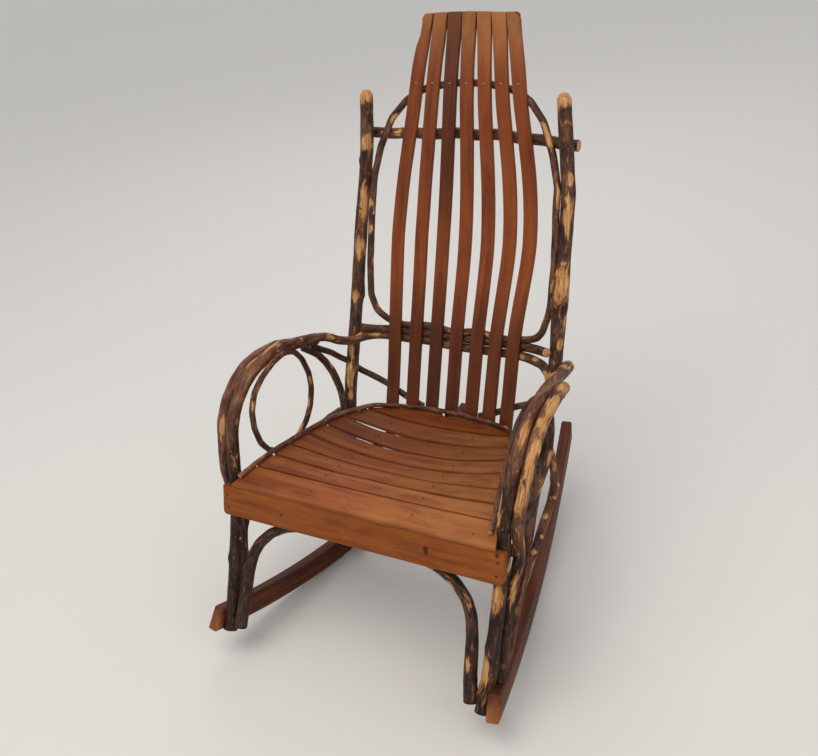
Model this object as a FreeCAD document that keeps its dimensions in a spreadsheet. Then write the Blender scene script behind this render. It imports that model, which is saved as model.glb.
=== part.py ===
import FreeCAD, Part
import math
import os
import Sketcher
from FreeCAD import Placement, Rotation, Vector

# Hickory rocking chair: bent saplings with the bark on, oak slats, sawn oak rockers.
# The chair faces -Y, +X is to the right of someone looking at its front, +Z is up.
# Sizes are in millimetres. While it is built, y is measured back from the top edge of
# the front board and z up from the floor; at the end everything moves back together so
# that the origin lies under the middle of the chair.

os.makedirs("parts", exist_ok=True)
doc = FreeCAD.newDocument("hickory_rocker")

# Driving sizes
SIZES = {
    "clearance": 0.3,
    # Rockers, sawn from board
    "rocker_arc_radius": 1300.0,
    "rocker_depth": 46.0,
    "rocker_thickness": 25.0,
    "rocker_front_reach": 279.0,
    "rocker_rear_reach": 586.0,
    "rocker_nose_slope": 28.0,
    "rocker_tail_slope": 6.0,
    "rocker_toe_in_degrees": 11.9,
    "rocker_edge_chamfer": 2.5,
    "contact_setback": 174.0,
    "rest_lean_degrees": 6.8,
    "front_leg_spread": 284.0,
    # Back posts
    "post_radius": 14.0,
    "post_foot_radius": 15.5,
    "post_height": 993.0,
    "post_foot_lift": 22.0,
    "post_foot_setback": 293.0,
    "post_top_setback": 521.0,
    "post_waist_spread": 240.5,
    "post_top_spread": 217.0,
    "right_post_inward_bend": 20.0,
    # Front leg and arm, one bent sapling each side, and the second bow beside it
    "arm_radius": 13.0,
    "leg_radius": 12.5,
    "arm_height": 529.0,
    "arm_spread": 300.5,
    "arm_reach": 415.0,
    "leg_foot_lift": 14.0,
    "leg_foot_advance": 80.0,
    "outer_arm_reach": 268.0,
    "outer_bow_radius": 11.8,
    "outer_bow_front_radius": 10.8,
    "outer_foot_setback": 28.0,
    "outer_foot_radius": 10.4,
    # Hoops and braces of the sides
    "hoop_radius": 6.3,
    "hoop_length": 206.0,
    "hoop_drop": 201.0,
    "hoop_setback": 187.0,
    "arm_brace_radius": 8.0,
    "arm_brace_setback": 300.0,
    "arm_brace_foot_lift": 9.2,
    "diagonal_radius": 7.0,
    "diagonal_setback": 322.0,
    "diagonal_end_spread": 68.0,
    "diagonal_end_height": 350.0,
    "side_brace_radius": 8.5,
    "side_brace_foot_setback": 5.0,
    "side_brace_spread": 309.0,
    "side_brace_end_height": 322.0,
    "side_rail_radius": 9.0,
    "front_arch_radius": 10.5,
    "front_arch_drop": 69.0,
    "front_arch_foot_height": 26.0,
    # Bows and rails of the back
    "upper_bow_radius": 9.5,
    "upper_bow_height": 504.5,
    "upper_bow_end_height": 519.0,
    "arm_bow_radius": 9.5,
    "arm_bow_drop": 44.0,
    "arm_bow_left_end_setback": 250.0,
    "arm_bow_right_end_drop": 58.0,
    "cross_rail_radius": 11.5,
    "cross_rail_height": 906.0,
    "cross_rail_left_overhang": 10.0,
    "cross_rail_right_overhang": 16.0,
    "cross_rail_right_drop": 7.0,
    "back_hoop_radius": 7.5,
    "back_hoop_top_height": 1014.0,
    "back_hoop_half_width": 209.0,
    # Back slats
    "slat_width": 28.0,
    "slat_thickness": 9.5,
    "slat_top_height": 1138.0,
    "slat_foot_height": 300.0,
    "slat_foot_setback": 381.6,
    "slat_fan_shift": 3.5,
    "slat_top_setback": 577.0,
    "slat_bulge_pitch": 50.2,
    "cleat_width": 206.0,
    "cleat_height": 30.0,
    "cleat_thickness": 9.0,
    "cleat_drop": 5.0,
    "cleat_corner_radius": 8.0,
    # Seat
    "board_width": 610.0,
    "board_height": 61.0,
    "board_thickness": 16.0,
    "board_lean_degrees": 11.0,
    "board_corner_radius": 9.0,
    "board_edge_round": 2.5,
    "seat_advance": 4.0,
    "seat_depth": 385.0,
    "seat_half_width": 280.0,
    "seat_front_height": 334.0,
    "seat_side_rise": 31.0,
    "seat_dish": 33.0,
    "seat_slat_thickness": 9.0,
    "seat_slat_gap": 2.5,
    "seat_trim_radius": 5.0,
    "seat_trim_end_setback": 10.0,
    "batten_radius": 10.0,
    "batten_front_spread": 112.0,
    "batten_rear_spread": 92.0,
    "batten_front_setback": 14.0,
    "batten_rear_setback": 372.0,
    "stretcher_radius": 11.0,
    "front_stretcher_overhang": 10.0,
    "rear_rung_radius": 10.0,
    "rear_rung_height": 150.0,
    "nail_head_radius": 2.6,
    "nail_head_height": 1.2,
}

sheet = doc.addObject("Spreadsheet::Sheet", "Sizes")
for row, (name, value) in enumerate(SIZES.items(), start=1):
    sheet.set("A%d" % row, name)
    sheet.set("B%d" % row, str(value))
    sheet.setAlias("B%d" % row, name)
doc.recompute()


def size(name):
    return float(sheet.get(name))


gap = size("clearance")
SIDES = {"right": 1.0, "left": -1.0}
pieces = []


# Shared geometry helpers

STRAIGHT_SHARE = 0.5


def between(low, high, share):
    return low + (high - low) * share


def lookup(table, key):
    """Value at key in rows of (key, value), straight between the rows."""
    if key <= table[0][0]:
        return table[0][1]
    for (k0, v0), (k1, v1) in zip(table, table[1:]):
        if key <= k1:
            return between(v0, v1, (key - k0) / (k1 - k0))
    return table[-1][1]


def mirrored(points, side):
    return [Vector(side * p.x, p.y, p.z) for p in points]


def smooth_path(points, rings):
    """Evenly spaced places and directions on the smooth curve through the points."""
    curve = Part.BSplineCurve()
    curve.interpolate(points)
    length = curve.length()
    stations = []
    for ring in range(rings):
        at = curve.parameterAtDistance(length * ring / (rings - 1), curve.FirstParameter)
        stations.append((curve.value(at), Vector(*curve.tangent(at)[0])))
    return stations


def bent_path(points, rings):
    """Places and directions along the curve, closer together where it bends harder."""
    fine = smooth_path(points, rings * 8 + 1)
    length = sum((after[0] - before[0]).Length for before, after in zip(fine, fine[1:]))
    passed = [0.0]
    for (place, along), (after, along_after) in zip(fine, fine[1:]):
        run = (after - place).Length
        turn = along.getAngle(along_after)
        passed.append(passed[-1] + math.sqrt(turn * run / length) + STRAIGHT_SHARE * run / length)
    steps = list(enumerate(passed))
    stations = []
    for ring in range(rings):
        wanted = passed[-1] * ring / (rings - 1)
        stations.append(min(steps, key=lambda step: abs(step[1] - wanted))[0])
    return [(share / (len(fine) - 1), fine[share][0], fine[share][1]) for share in stations]


def stick(points, radii, rings):
    """A round tapered stick along the points; radii are spread evenly along it."""
    stations = bent_path(points, rings)
    last = len(radii) - 1
    across = Vector(0, 0, 1)
    if abs(stations[0][2].dot(across)) > 0.9:
        across = Vector(1, 0, 0)
    wires = []
    for share, place, along in stations:
        across = across - along * across.dot(along)
        across.normalize()
        turned = Rotation(across, along.cross(across), along, "ZXY")
        reach = last * share
        low = min(int(reach), last - 1) if last else 0
        radius = between(radii[low], radii[min(low + 1, last)], reach - low)
        circle = Part.Wire(Part.makeCircle(radius))
        circle.Placement = Placement(place, turned)
        wires.append(circle)
    return Part.makeLoft(wires, True, True)


def add_shape(name, shape):
    piece = doc.addObject("Part::Feature", name)
    piece.Label = name
    piece.Shape = shape
    pieces.append(piece)
    return piece


def add_rod(name, radius_name, length, start, direction):
    """A straight round stick as a cylinder whose radius is bound to the sheet."""
    rod = doc.addObject("Part::Cylinder", name)
    rod.Label = name
    rod.setExpression("Radius", "Sizes.%s" % radius_name)
    rod.Height = length
    rod.Placement = Placement(start, Rotation(Vector(0, 0, 1), direction))
    pieces.append(rod)
    return rod


def origin_plane(body, role):
    return [item for item in body.Origin.OriginFeatures if item.Role == role][0]


def new_sketch(body, role, name):
    sketch = body.newObject("Sketcher::SketchObject", name)
    sketch.AttachmentSupport = [(origin_plane(body, role), "")]
    sketch.MapMode = "FlatFace"
    return sketch


# Back posts: curved saplings that lean back and straighten near the top

POST_SHARES = [
    # height, spread from foot to waist, spread from waist to top, setback, right inward bend
    (0.0, 0.0, 0.0, 0.0, 0.0), (0.037, -0.06, 0.0, 0.042, 0.0), (0.06, 0.0, 0.0, 0.068, 0.05),
    (0.084, 0.14, 0.0, 0.094, 0.25), (0.125, 0.43, 0.0, 0.14, 0.65),
    (0.166, 0.66, 0.0, 0.184, 0.9), (0.228, 0.84, 0.0, 0.25, 1.0), (0.279, 0.91, 0.0, 0.311, 1.0),
    (0.352, 1.0, 0.0, 0.395, 0.8), (0.401, 1.0, 0.04, 0.452, 0.42), (0.453, 1.0, 0.11, 0.513, 0.08),
    (0.553, 1.0, 0.25, 0.627, 0.0), (0.654, 1.0, 0.29, 0.741, 0.0), (0.753, 1.0, 0.33, 0.86, 0.0),
    (0.801, 1.0, 0.375, 0.93, 0.0), (0.851, 1.0, 0.58, 0.969, 0.0), (0.902, 1.0, 0.75, 0.987, 0.0),
    (0.952, 1.0, 0.875, 0.996, 0.0), (1.0, 1.0, 1.0, 1.0, 0.0),
]
toe_in = math.radians(size("rocker_toe_in_degrees"))


def rocker_inner_face(y):
    """Distance from the middle of the chair to a rocker's inner face at a setback."""
    at_leg = size("front_leg_spread") + size("leg_radius") + gap
    return at_leg - math.tan(toe_in) * (y + size("leg_foot_advance"))


def rocker_bottom(y):
    """Height of a rocker's lower edge at a setback."""
    run = (y - size("contact_setback")) / math.cos(toe_in)
    radius = size("rocker_arc_radius")
    return radius - math.sqrt(radius ** 2 - run ** 2)


rocker_width_across = size("rocker_thickness") / math.cos(toe_in)
post_foot_spread = (rocker_inner_face(size("post_foot_setback"))
                    - (size("post_foot_radius") + gap) / math.cos(toe_in))


def post_path(side):
    points = []
    for height_share, waist_share, top_share, setback_share, bend_share in POST_SHARES:
        spread = between(post_foot_spread, size("post_waist_spread"), waist_share)
        spread = between(spread, size("post_top_spread"), top_share)
        if side > 0:
            spread = spread - bend_share * size("right_post_inward_bend")
        points.append(Vector(spread,
                             between(size("post_foot_setback"), size("post_top_setback"),
                                     setback_share),
                             between(size("post_foot_lift"), size("post_height"), height_share)))
    return points


post_radii = [size("post_foot_radius"), size("post_radius"), size("post_radius"), size("post_radius")]
post_lines = {side: [place for place, along in smooth_path(post_path(side), 60)]
              for side in SIDES.values()}


def post_at(z, side=SIDES["left"]):
    """Centre of a back post at a height, its spread counted positive on both sides."""
    spread = lookup([(p.z, p.x) for p in post_lines[side]], z)
    setback = lookup([(p.z, p.y) for p in post_lines[side]], z)
    return Vector(spread, setback, z)


for side_name, side in SIDES.items():
    add_shape("back_post_" + side_name, stick(mirrored(post_path(side), side), post_radii, 12))

# Rockers: two arcs with one centre, a sloping nose and tail, eased long edges


def add_rocker(side_name, side):
    body = doc.addObject("PartDesign::Body", "rocker_" + side_name)
    body.Label = "rocker_" + side_name
    sketch = new_sketch(body, "XZ_Plane", "rocker_outline_" + side_name)
    radius = size("rocker_arc_radius")
    inner = radius - size("rocker_depth")
    centre = Vector(0, radius, 0)
    front = size("rocker_front_reach")
    rear = size("rocker_rear_reach")
    nose = front - size("rocker_nose_slope")
    tail = rear - size("rocker_tail_slope")
    low_front = -math.pi / 2 - math.asin(front / radius)
    low_rear = -math.pi / 2 + math.asin(rear / radius)
    top_front = -math.pi / 2 - math.asin(nose / inner)
    top_rear = -math.pi / 2 + math.asin(tail / inner)
    low = Part.ArcOfCircle(Part.Circle(centre, Vector(0, 0, 1), radius), low_front, low_rear)
    top = Part.ArcOfCircle(Part.Circle(centre, Vector(0, 0, 1), inner), top_front, top_rear)
    sketch.addGeometry(low, False)
    sketch.addGeometry(top, False)
    sketch.addGeometry(Part.LineSegment(low.StartPoint, top.StartPoint), False)
    sketch.addGeometry(Part.LineSegment(low.EndPoint, top.EndPoint), False)
    sketch.addConstraint(Sketcher.Constraint("Coincident", 2, 1, 0, 1))
    sketch.addConstraint(Sketcher.Constraint("Coincident", 2, 2, 1, 1))
    sketch.addConstraint(Sketcher.Constraint("Coincident", 3, 1, 0, 2))
    sketch.addConstraint(Sketcher.Constraint("Coincident", 3, 2, 1, 2))
    sketch.addConstraint(Sketcher.Constraint("Coincident", 1, 3, 0, 3))
    sketch.addConstraint(Sketcher.Constraint("PointOnObject", 0, 3, -2))
    bound = {
        sketch.addConstraint(Sketcher.Constraint("Radius", 0, radius)): "Sizes.rocker_arc_radius",
        sketch.addConstraint(Sketcher.Constraint("Radius", 1, inner)):
            "Sizes.rocker_arc_radius - Sizes.rocker_depth",
        sketch.addConstraint(Sketcher.Constraint("DistanceY", -1, 1, 0, 3, radius)):
            "Sizes.rocker_arc_radius",
        sketch.addConstraint(Sketcher.Constraint("DistanceX", 0, 1, -1, 1, front)):
            "Sizes.rocker_front_reach",
        sketch.addConstraint(Sketcher.Constraint("DistanceX", -1, 1, 0, 2, rear)):
            "Sizes.rocker_rear_reach",
        sketch.addConstraint(Sketcher.Constraint("DistanceX", 1, 1, -1, 1, nose)):
            "Sizes.rocker_front_reach - Sizes.rocker_nose_slope",
        sketch.addConstraint(Sketcher.Constraint("DistanceX", -1, 1, 1, 2, tail)):
            "Sizes.rocker_rear_reach - Sizes.rocker_tail_slope",
    }
    for constraint, expression in bound.items():
        sketch.setExpression("Constraints[%d]" % constraint, expression)
    pad = body.newObject("PartDesign::Pad", "rocker_pad_" + side_name)
    pad.Profile = sketch
    pad.setExpression("Length", "Sizes.rocker_thickness")
    pad.Midplane = True
    doc.recompute()
    rounded = body.newObject("PartDesign::Chamfer", "rocker_edges_" + side_name)
    rounded.Base = (pad, long_edges(pad.Shape, size("rocker_front_reach")))
    rounded.setExpression("Size", "Sizes.rocker_edge_chamfer")
    body.Tip = rounded
    middle = rocker_inner_face(size("contact_setback")) + rocker_width_across / 2
    turn = Rotation(Vector(0, 0, 1), 90 + side * math.degrees(toe_in))
    body.Placement = Placement(Vector(side * middle, size("contact_setback"), 0), turn)
    pieces.append(body)


def long_edges(shape, least):
    return ["Edge%d" % (n + 1) for n, edge in enumerate(shape.Edges) if edge.Length > least]


for side_name, side in SIDES.items():
    add_rocker(side_name, side)

# Front leg and arm: one sapling rises from the rocker, leans back and bends over as the arm

ARM_SHARES = [
    # height from foot to arm, spread from foot to arm, spread from arm to post, run of setback
    (0.0, 0.0, 0.0, 0.0), (0.072, 0.08, 0.0, 0.038), (0.163, 0.17, 0.0, 0.079),
    (0.258, 0.26, 0.0, 0.111), (0.357, 0.33, 0.0, 0.143), (0.456, 0.41, 0.0, 0.174),
    (0.555, 0.55, 0.0, 0.198), (0.643, 0.75, 0.0, 0.219), (0.724, 0.92, 0.0, 0.233),
    (0.788, 0.97, 0.0, 0.246), (0.847, 1.0, 0.0, 0.269), (0.895, 1.0, 0.0, 0.305),
    (0.94, 1.0, 0.02, 0.356), (0.977, 1.0, 0.05, 0.42), (0.996, 1.0, 0.1, 0.501),
    (1.0, 1.0, 0.2, 0.592), (0.99, 1.0, 0.34, 0.687), (0.973, 1.0, 0.55, 0.788),
    (0.951, 1.0, 0.8, 0.893), (0.93, 1.0, 1.0, 1.0),
]
ARM_REAR_HEIGHT_SHARE = 0.93
arm_foot = Vector(size("front_leg_spread"), -size("leg_foot_advance"), size("leg_foot_lift"))
arm_rear_height = between(arm_foot.z, size("arm_height"), ARM_REAR_HEIGHT_SHARE)
arm_rear_spread = (post_at(arm_rear_height).x + size("post_radius") + size("arm_radius")
                   + 2 * gap)


def arm_point(row, offset):
    height_share, leg_share, rear_share, run_share = row
    spread = between(arm_foot.x, size("arm_spread") + offset, leg_share)
    spread = between(spread, arm_rear_spread + offset, rear_share)
    return Vector(spread,
                  between(arm_foot.y, size("arm_reach"), run_share),
                  between(arm_foot.z, size("arm_height"), height_share))


ARM_PATH = [arm_point(row, 0.0) for row in ARM_SHARES]
arm_line = [place for place, along in smooth_path(ARM_PATH, 120)]
arm_radii = [size("leg_radius"), size("leg_radius"), size("arm_radius"), size("arm_radius"),
             size("arm_radius"), size("arm_radius")]


def arm_at(y):
    """Centre of the arm where it is y behind the seat front, along its upper run."""
    upper = [p for p in arm_line if p.z > size("arm_height") * ARM_REAR_HEIGHT_SHARE]
    spread = lookup([(p.y, p.x) for p in upper], y)
    height = lookup([(p.y, p.z) for p in upper], y)
    return Vector(spread, y, height)


def leg_at(z):
    """Centre of the front leg at a height below the bend."""
    lower = [p for p in arm_line if p.y < size("hoop_setback") / 2]
    spread = lookup([(p.z, p.x) for p in lower], z)
    setback = lookup([(p.z, p.y) for p in lower], z)
    return Vector(spread, setback, z)


# Front board: leans with the legs, its rounded lower corners hang below the seat

board_lean = math.radians(size("board_lean_degrees"))
board_top = (size("seat_front_height") - size("seat_slat_thickness") - 3 * gap)


def add_front_board():
    body = doc.addObject("PartDesign::Body", "seat_front_board")
    body.Label = "seat_front_board"
    sketch = new_sketch(body, "XZ_Plane", "board_outline")
    half = size("board_width") / 2
    deep = size("board_height")
    corners = [Vector(-half, 0, 0), Vector(half, 0, 0), Vector(half, -deep, 0), Vector(-half, -deep, 0)]
    for first, second in zip(corners, corners[1:] + corners[:1]):
        sketch.addGeometry(Part.LineSegment(first, second), False)
    for line in range(4):
        sketch.addConstraint(Sketcher.Constraint("Coincident", line, 2, (line + 1) % 4, 1))
    for line, kind in ((1, "Vertical"), (2, "Horizontal"), (3, "Vertical")):
        sketch.addConstraint(Sketcher.Constraint(kind, line))
    sketch.addConstraint(Sketcher.Constraint("Symmetric", 0, 1, 0, 2, -2))
    sketch.addConstraint(Sketcher.Constraint("PointOnObject", 0, 1, -1))
    wide = sketch.addConstraint(Sketcher.Constraint("DistanceX", 0, 1, 0, 2, 2 * half))
    high = sketch.addConstraint(Sketcher.Constraint("DistanceY", 1, 2, 1, 1, deep))
    sketch.setExpression("Constraints[%d]" % wide, "Sizes.board_width")
    sketch.setExpression("Constraints[%d]" % high, "Sizes.board_height")
    pad = body.newObject("PartDesign::Pad", "board_pad")
    pad.Profile = sketch
    pad.setExpression("Length", "Sizes.board_thickness")
    pad.Reversed = True
    doc.recompute()
    corner_edges = [
        "Edge%d" % (n + 1) for n, edge in enumerate(pad.Shape.Edges)
        if abs(edge.Vertexes[0].Z - edge.Vertexes[-1].Z) < gap
        and abs(edge.Vertexes[0].X - edge.Vertexes[-1].X) < gap
        and edge.Vertexes[0].Z < -deep / 2
    ]
    corners_cut = body.newObject("PartDesign::Fillet", "board_corners")
    corners_cut.Base = (pad, corner_edges)
    corners_cut.setExpression("Radius", "Sizes.board_corner_radius")
    doc.recompute()
    front_edges = [
        "Edge%d" % (n + 1) for n, edge in enumerate(corners_cut.Shape.Edges)
        if edge.BoundBox.YMax < gap and edge.BoundBox.ZMin < -gap
    ]
    eased = body.newObject("PartDesign::Fillet", "board_front_edges")
    eased.Base = (corners_cut, front_edges)
    eased.setExpression("Radius", "Sizes.board_edge_round")
    body.Tip = eased
    turn = Rotation(Vector(1, 0, 0), -size("board_lean_degrees"))
    body.Placement = Placement(Vector(0, -size("seat_advance"), board_top), turn)
    pieces.append(body)
    return body


front_board = add_front_board()


def board_seat_block():
    """The room behind the board's back face, which the legs are flattened to fit."""
    reach = size("board_width")
    deep = size("board_height")
    back = size("board_thickness") + gap
    block = Part.makeBox(2 * reach, reach, deep + 2 * gap,
                         Vector(-reach, back - reach, -deep - gap))
    block.Placement = front_board.Placement
    return block


def rocker_seat_block(side):
    """The room the rocker takes beside the leg, which is flattened to lie against it."""
    reach = size("rocker_front_reach")
    top = rocker_bottom(-size("leg_foot_advance")) + size("rocker_depth") + 4 * gap
    block = Part.makeBox(reach, 2 * reach, 2 * reach)
    block.translate(Vector(-gap if side > 0 else gap - reach, -reach, top - 2 * reach))
    at_foot = rocker_inner_face(-size("leg_foot_advance"))
    turn = Rotation(Vector(0, 0, 1), side * math.degrees(toe_in))
    block.Placement = Placement(Vector(side * at_foot, -size("leg_foot_advance"), 0), turn
                                ).multiply(block.Placement)
    return block


seat_block = board_seat_block()
for side_name, side in SIDES.items():
    bow = stick(mirrored(ARM_PATH, side), arm_radii, 18)
    bow = bow.cut(seat_block).cut(rocker_seat_block(side))
    add_shape("front_leg_arm_bow_" + side_name, bow)

# Outer arm bow: lies against the arm, then comes down behind the leg onto the rocker

bow_offset = size("arm_radius") + size("outer_bow_radius") + gap
OUTER_LOWER_SHARES = [
    # height from rocker to join, spread from foot to arm, setback from foot to leg
    (0.0, 0.0, 0.0), (0.19, 0.02, 0.35), (0.405, 0.07, 0.675), (0.6, 0.2, 0.98),
    (0.71, 0.48, 1.05), (0.835, 0.84, 1.07), (1.0, 1.0, 1.0),
]
OUTER_JOIN_HEIGHT_SHARE = 0.655
outer_join_height = size("arm_height") * OUTER_JOIN_HEIGHT_SHARE
outer_foot_setback = -size("outer_foot_setback") + 2 * gap
outer_foot = Vector(rocker_inner_face(outer_foot_setback) + rocker_width_across / 2,
                    outer_foot_setback,
                    rocker_bottom(outer_foot_setback) + size("rocker_depth") + 4 * gap)
outer_join = leg_at(outer_join_height) + Vector(bow_offset, 0, 0)
OUTER_PATH = [
    Vector(between(outer_foot.x, outer_join.x, spread_share),
           between(outer_foot.y, outer_join.y, setback_share),
           between(outer_foot.z, outer_join.z, height_share))
    for height_share, spread_share, setback_share in OUTER_LOWER_SHARES
]
for row in ARM_SHARES:
    place = arm_point(row, bow_offset)
    if place.z > outer_join_height * 1.03 and place.y < size("outer_arm_reach"):
        OUTER_PATH.append(place)
outer_end = arm_at(size("outer_arm_reach"))
OUTER_PATH.append(outer_end + Vector(bow_offset, 0, -size("outer_bow_radius") / 4))
outer_radii = [size("outer_foot_radius"), size("outer_bow_front_radius"),
               size("outer_bow_front_radius"), size("outer_bow_radius"),
               size("outer_bow_radius")]
for side_name, side in SIDES.items():
    add_shape("outer_arm_bow_" + side_name, stick(mirrored(OUTER_PATH, side), outer_radii, 14))

# Arm hoop: a thin rod bent round under the arm, ends meeting at the bottom

hoop_lean_share = 0.93
hoop_reach = size("arm_radius") + size("hoop_radius") + 2 * gap
hoop_top = arm_at(size("hoop_setback"))
hoop_drop_below = hoop_reach * math.sqrt(1 - hoop_lean_share ** 2)
hoop_spread = hoop_top.x - hoop_reach * hoop_lean_share
HOOP_STEPS = 16


def hoop_path():
    points = []
    half_run = size("hoop_length") / 2
    half_drop = size("hoop_drop") / 2
    middle = hoop_top.z - hoop_drop_below - half_drop
    for step in range(HOOP_STEPS + 1):
        angle = -math.pi / 2 + 2 * math.pi * (step + 0.04 * (HOOP_STEPS / 2 - step) / HOOP_STEPS
                                              ) / HOOP_STEPS
        y = size("hoop_setback") + half_run * math.cos(angle)
        z = middle + half_drop * math.sin(angle)
        points.append(Vector(hoop_spread, y, z))
    return points


for side_name, side in SIDES.items():
    add_shape("arm_hoop_" + side_name,
              stick(mirrored(hoop_path(), side), [size("hoop_radius")] * 2, 18))

# Arm brace: from under the arm, curving down against the front of the back post

brace_top = arm_at(size("arm_brace_setback"))
brace_reach = size("post_radius") + size("arm_brace_radius") + 2 * gap
hoop_foot = (hoop_top.z - hoop_drop_below - size("hoop_drop") - size("hoop_radius")
             - size("side_rail_radius") - gap)
arm_brace_foot = hoop_foot + size("arm_brace_foot_lift")
ARM_BRACE_SHARES = [
    # height down from the arm, then shares from the arm's line to the post's line
    (0.0, 0.0), (0.13, 0.28), (0.31, 0.52), (0.49, 0.72), (0.67, 0.88), (0.85, 0.97), (1.0, 1.0),
]


def arm_brace_path(side):
    top = brace_top - Vector(0, 0, size("arm_radius") + size("arm_brace_radius") + gap)
    points = []
    for drop_share, inward_share in ARM_BRACE_SHARES:
        z = between(top.z, arm_brace_foot, drop_share)
        post = post_at(z, side)
        beside = Vector(post.x, post.y - brace_reach, z)
        points.append(Vector(between(top.x, beside.x, inward_share),
                             between(top.y, beside.y, inward_share), z))
    return points


for side_name, side in SIDES.items():
    radii = [size("arm_brace_radius"), size("arm_brace_radius")]
    add_shape("arm_brace_" + side_name, stick(mirrored(arm_brace_path(side), side), radii, 7))

# Back slats: seven oak strips fanned over the hoop, bent to a long S in profile

SLAT_PROFILE_SHARES = [
    # height, setback, pitch as a share of the widest pitch
    (0.0, 0.0, 0.915), (0.036, 0.01, 0.919), (0.067, 0.034, 0.922), (0.093, 0.069, 0.924),
    (0.171, 0.165, 0.933), (0.279, 0.289, 0.947), (0.385, 0.422, 0.974), (0.449, 0.501, 0.992),
    (0.49, 0.545, 1.0), (0.546, 0.598, 0.99), (0.599, 0.641, 0.974), (0.652, 0.679, 0.947),
    (0.722, 0.727, 0.892), (0.808, 0.791, 0.805), (0.907, 0.893, 0.716), (1.0, 1.0, 0.623),
]
SLAT_COUNT = 7


def slat_height(share):
    return between(size("slat_foot_height"), size("slat_top_height"), share)


def slat_front(z):
    """Setback of the slats' front faces at a height."""
    rows = [(slat_height(h), between(size("slat_foot_setback"), size("slat_top_setback"), s))
            for h, s, pitch in SLAT_PROFILE_SHARES]
    return lookup(rows, z)


def slat_slope(z):
    step = size("slat_width")
    return (slat_front(z + step) - slat_front(z - step)) / (2 * step)


def slat_pitch(z):
    rows = [(slat_height(h), pitch * size("slat_bulge_pitch")) for h, s, pitch in SLAT_PROFILE_SHARES]
    return lookup(rows, z)


def behind_slats(z, radius):
    """Setback of a round rail that touches the backs of the slats at a height."""
    tilt = math.hypot(1, slat_slope(z))
    return slat_front(z) + (size("slat_thickness") + radius + gap) * tilt


def back_slat(number):
    place = number - (SLAT_COUNT + 1) / 2
    front_line = []
    for height_share, setback_share, pitch_share in SLAT_PROFILE_SHARES:
        z = slat_height(height_share)
        aside = size("slat_fan_shift") * (pitch_share - SLAT_PROFILE_SHARES[-1][2])
        aside = aside / (1 - SLAT_PROFILE_SHARES[-1][2])
        front_line.append(Vector(place * pitch_share * size("slat_bulge_pitch") - aside,
                                 between(size("slat_foot_setback"), size("slat_top_setback"),
                                         setback_share), z))
    wires = []
    half = size("slat_width") / 2
    for index, middle in enumerate(front_line):
        before = front_line[max(index - 1, 0)]
        after = front_line[min(index + 1, len(front_line) - 1)]
        along = after - before
        along.normalize()
        back = Vector(0, along.z, -along.y)
        back.normalize()
        across = along.cross(back) * -1
        across.normalize()
        deep = back * size("slat_thickness")
        corners = [middle - across * half, middle + across * half,
                   middle + across * half + deep, middle - across * half + deep]
        wires.append(Part.makePolygon(corners + corners[:1]))
    return Part.makeLoft(wires, True, True)


for number in range(1, SLAT_COUNT + 1):
    add_shape("back_slat_%d" % number, back_slat(number))

# Top cleat: a strip behind the tops of the slats


def add_cleat():
    body = doc.addObject("PartDesign::Body", "back_top_cleat")
    body.Label = "back_top_cleat"
    sketch = new_sketch(body, "XZ_Plane", "cleat_outline")
    half = size("cleat_width") / 2
    high = size("cleat_height")
    corners = [Vector(-half, 0, 0), Vector(half, 0, 0), Vector(half, -high, 0), Vector(-half, -high, 0)]
    for first, second in zip(corners, corners[1:] + corners[:1]):
        sketch.addGeometry(Part.LineSegment(first, second), False)
    for line in range(4):
        sketch.addConstraint(Sketcher.Constraint("Coincident", line, 2, (line + 1) % 4, 1))
    for line, kind in ((1, "Vertical"), (2, "Horizontal"), (3, "Vertical")):
        sketch.addConstraint(Sketcher.Constraint(kind, line))
    sketch.addConstraint(Sketcher.Constraint("Symmetric", 0, 1, 0, 2, -2))
    sketch.addConstraint(Sketcher.Constraint("PointOnObject", 0, 1, -1))
    wide = sketch.addConstraint(Sketcher.Constraint("DistanceX", 0, 1, 0, 2, 2 * half))
    tall = sketch.addConstraint(Sketcher.Constraint("DistanceY", 1, 2, 1, 1, high))
    sketch.setExpression("Constraints[%d]" % wide, "Sizes.cleat_width")
    sketch.setExpression("Constraints[%d]" % tall, "Sizes.cleat_height")
    pad = body.newObject("PartDesign::Pad", "cleat_pad")
    pad.Profile = sketch
    pad.setExpression("Length", "Sizes.cleat_thickness")
    pad.Reversed = True
    doc.recompute()
    top_corners = [
        "Edge%d" % (n + 1) for n, edge in enumerate(pad.Shape.Edges)
        if abs(edge.Vertexes[0].Z) < gap and abs(edge.Vertexes[-1].Z) < gap
        and abs(edge.Vertexes[0].X - edge.Vertexes[-1].X) < gap
    ]
    rounded = body.newObject("PartDesign::Fillet", "cleat_corners")
    rounded.Base = (pad, top_corners)
    rounded.setExpression("Radius", "Sizes.cleat_corner_radius")
    body.Tip = rounded
    top = size("slat_top_height") - size("cleat_drop")
    middle = top - size("cleat_height") / 2
    lean = math.atan(slat_slope(middle))
    stand_off = (size("slat_thickness") + gap) / math.cos(lean)
    y_top = slat_front(middle) + stand_off + size("cleat_height") / 2 * math.tan(lean)
    turn = Rotation(Vector(1, 0, 0), -math.degrees(lean))
    body.Placement = Placement(Vector(0, y_top, top), turn)
    pieces.append(body)


add_cleat()

# Cross rail: straight, nailed behind the posts, its right end standing proud

cross_place = post_at(size("cross_rail_height"))
cross_setback = cross_place.y + size("post_radius") + size("cross_rail_radius") + gap
cross_start = Vector(-cross_place.x - size("cross_rail_left_overhang"), cross_setback,
                     size("cross_rail_height"))
cross_length = (2 * cross_place.x + size("cross_rail_left_overhang")
                + size("cross_rail_right_overhang"))
add_rod("back_cross_rail", "cross_rail_radius", cross_length, cross_start,
        Vector(cross_length, 0, -size("cross_rail_right_drop")))

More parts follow.
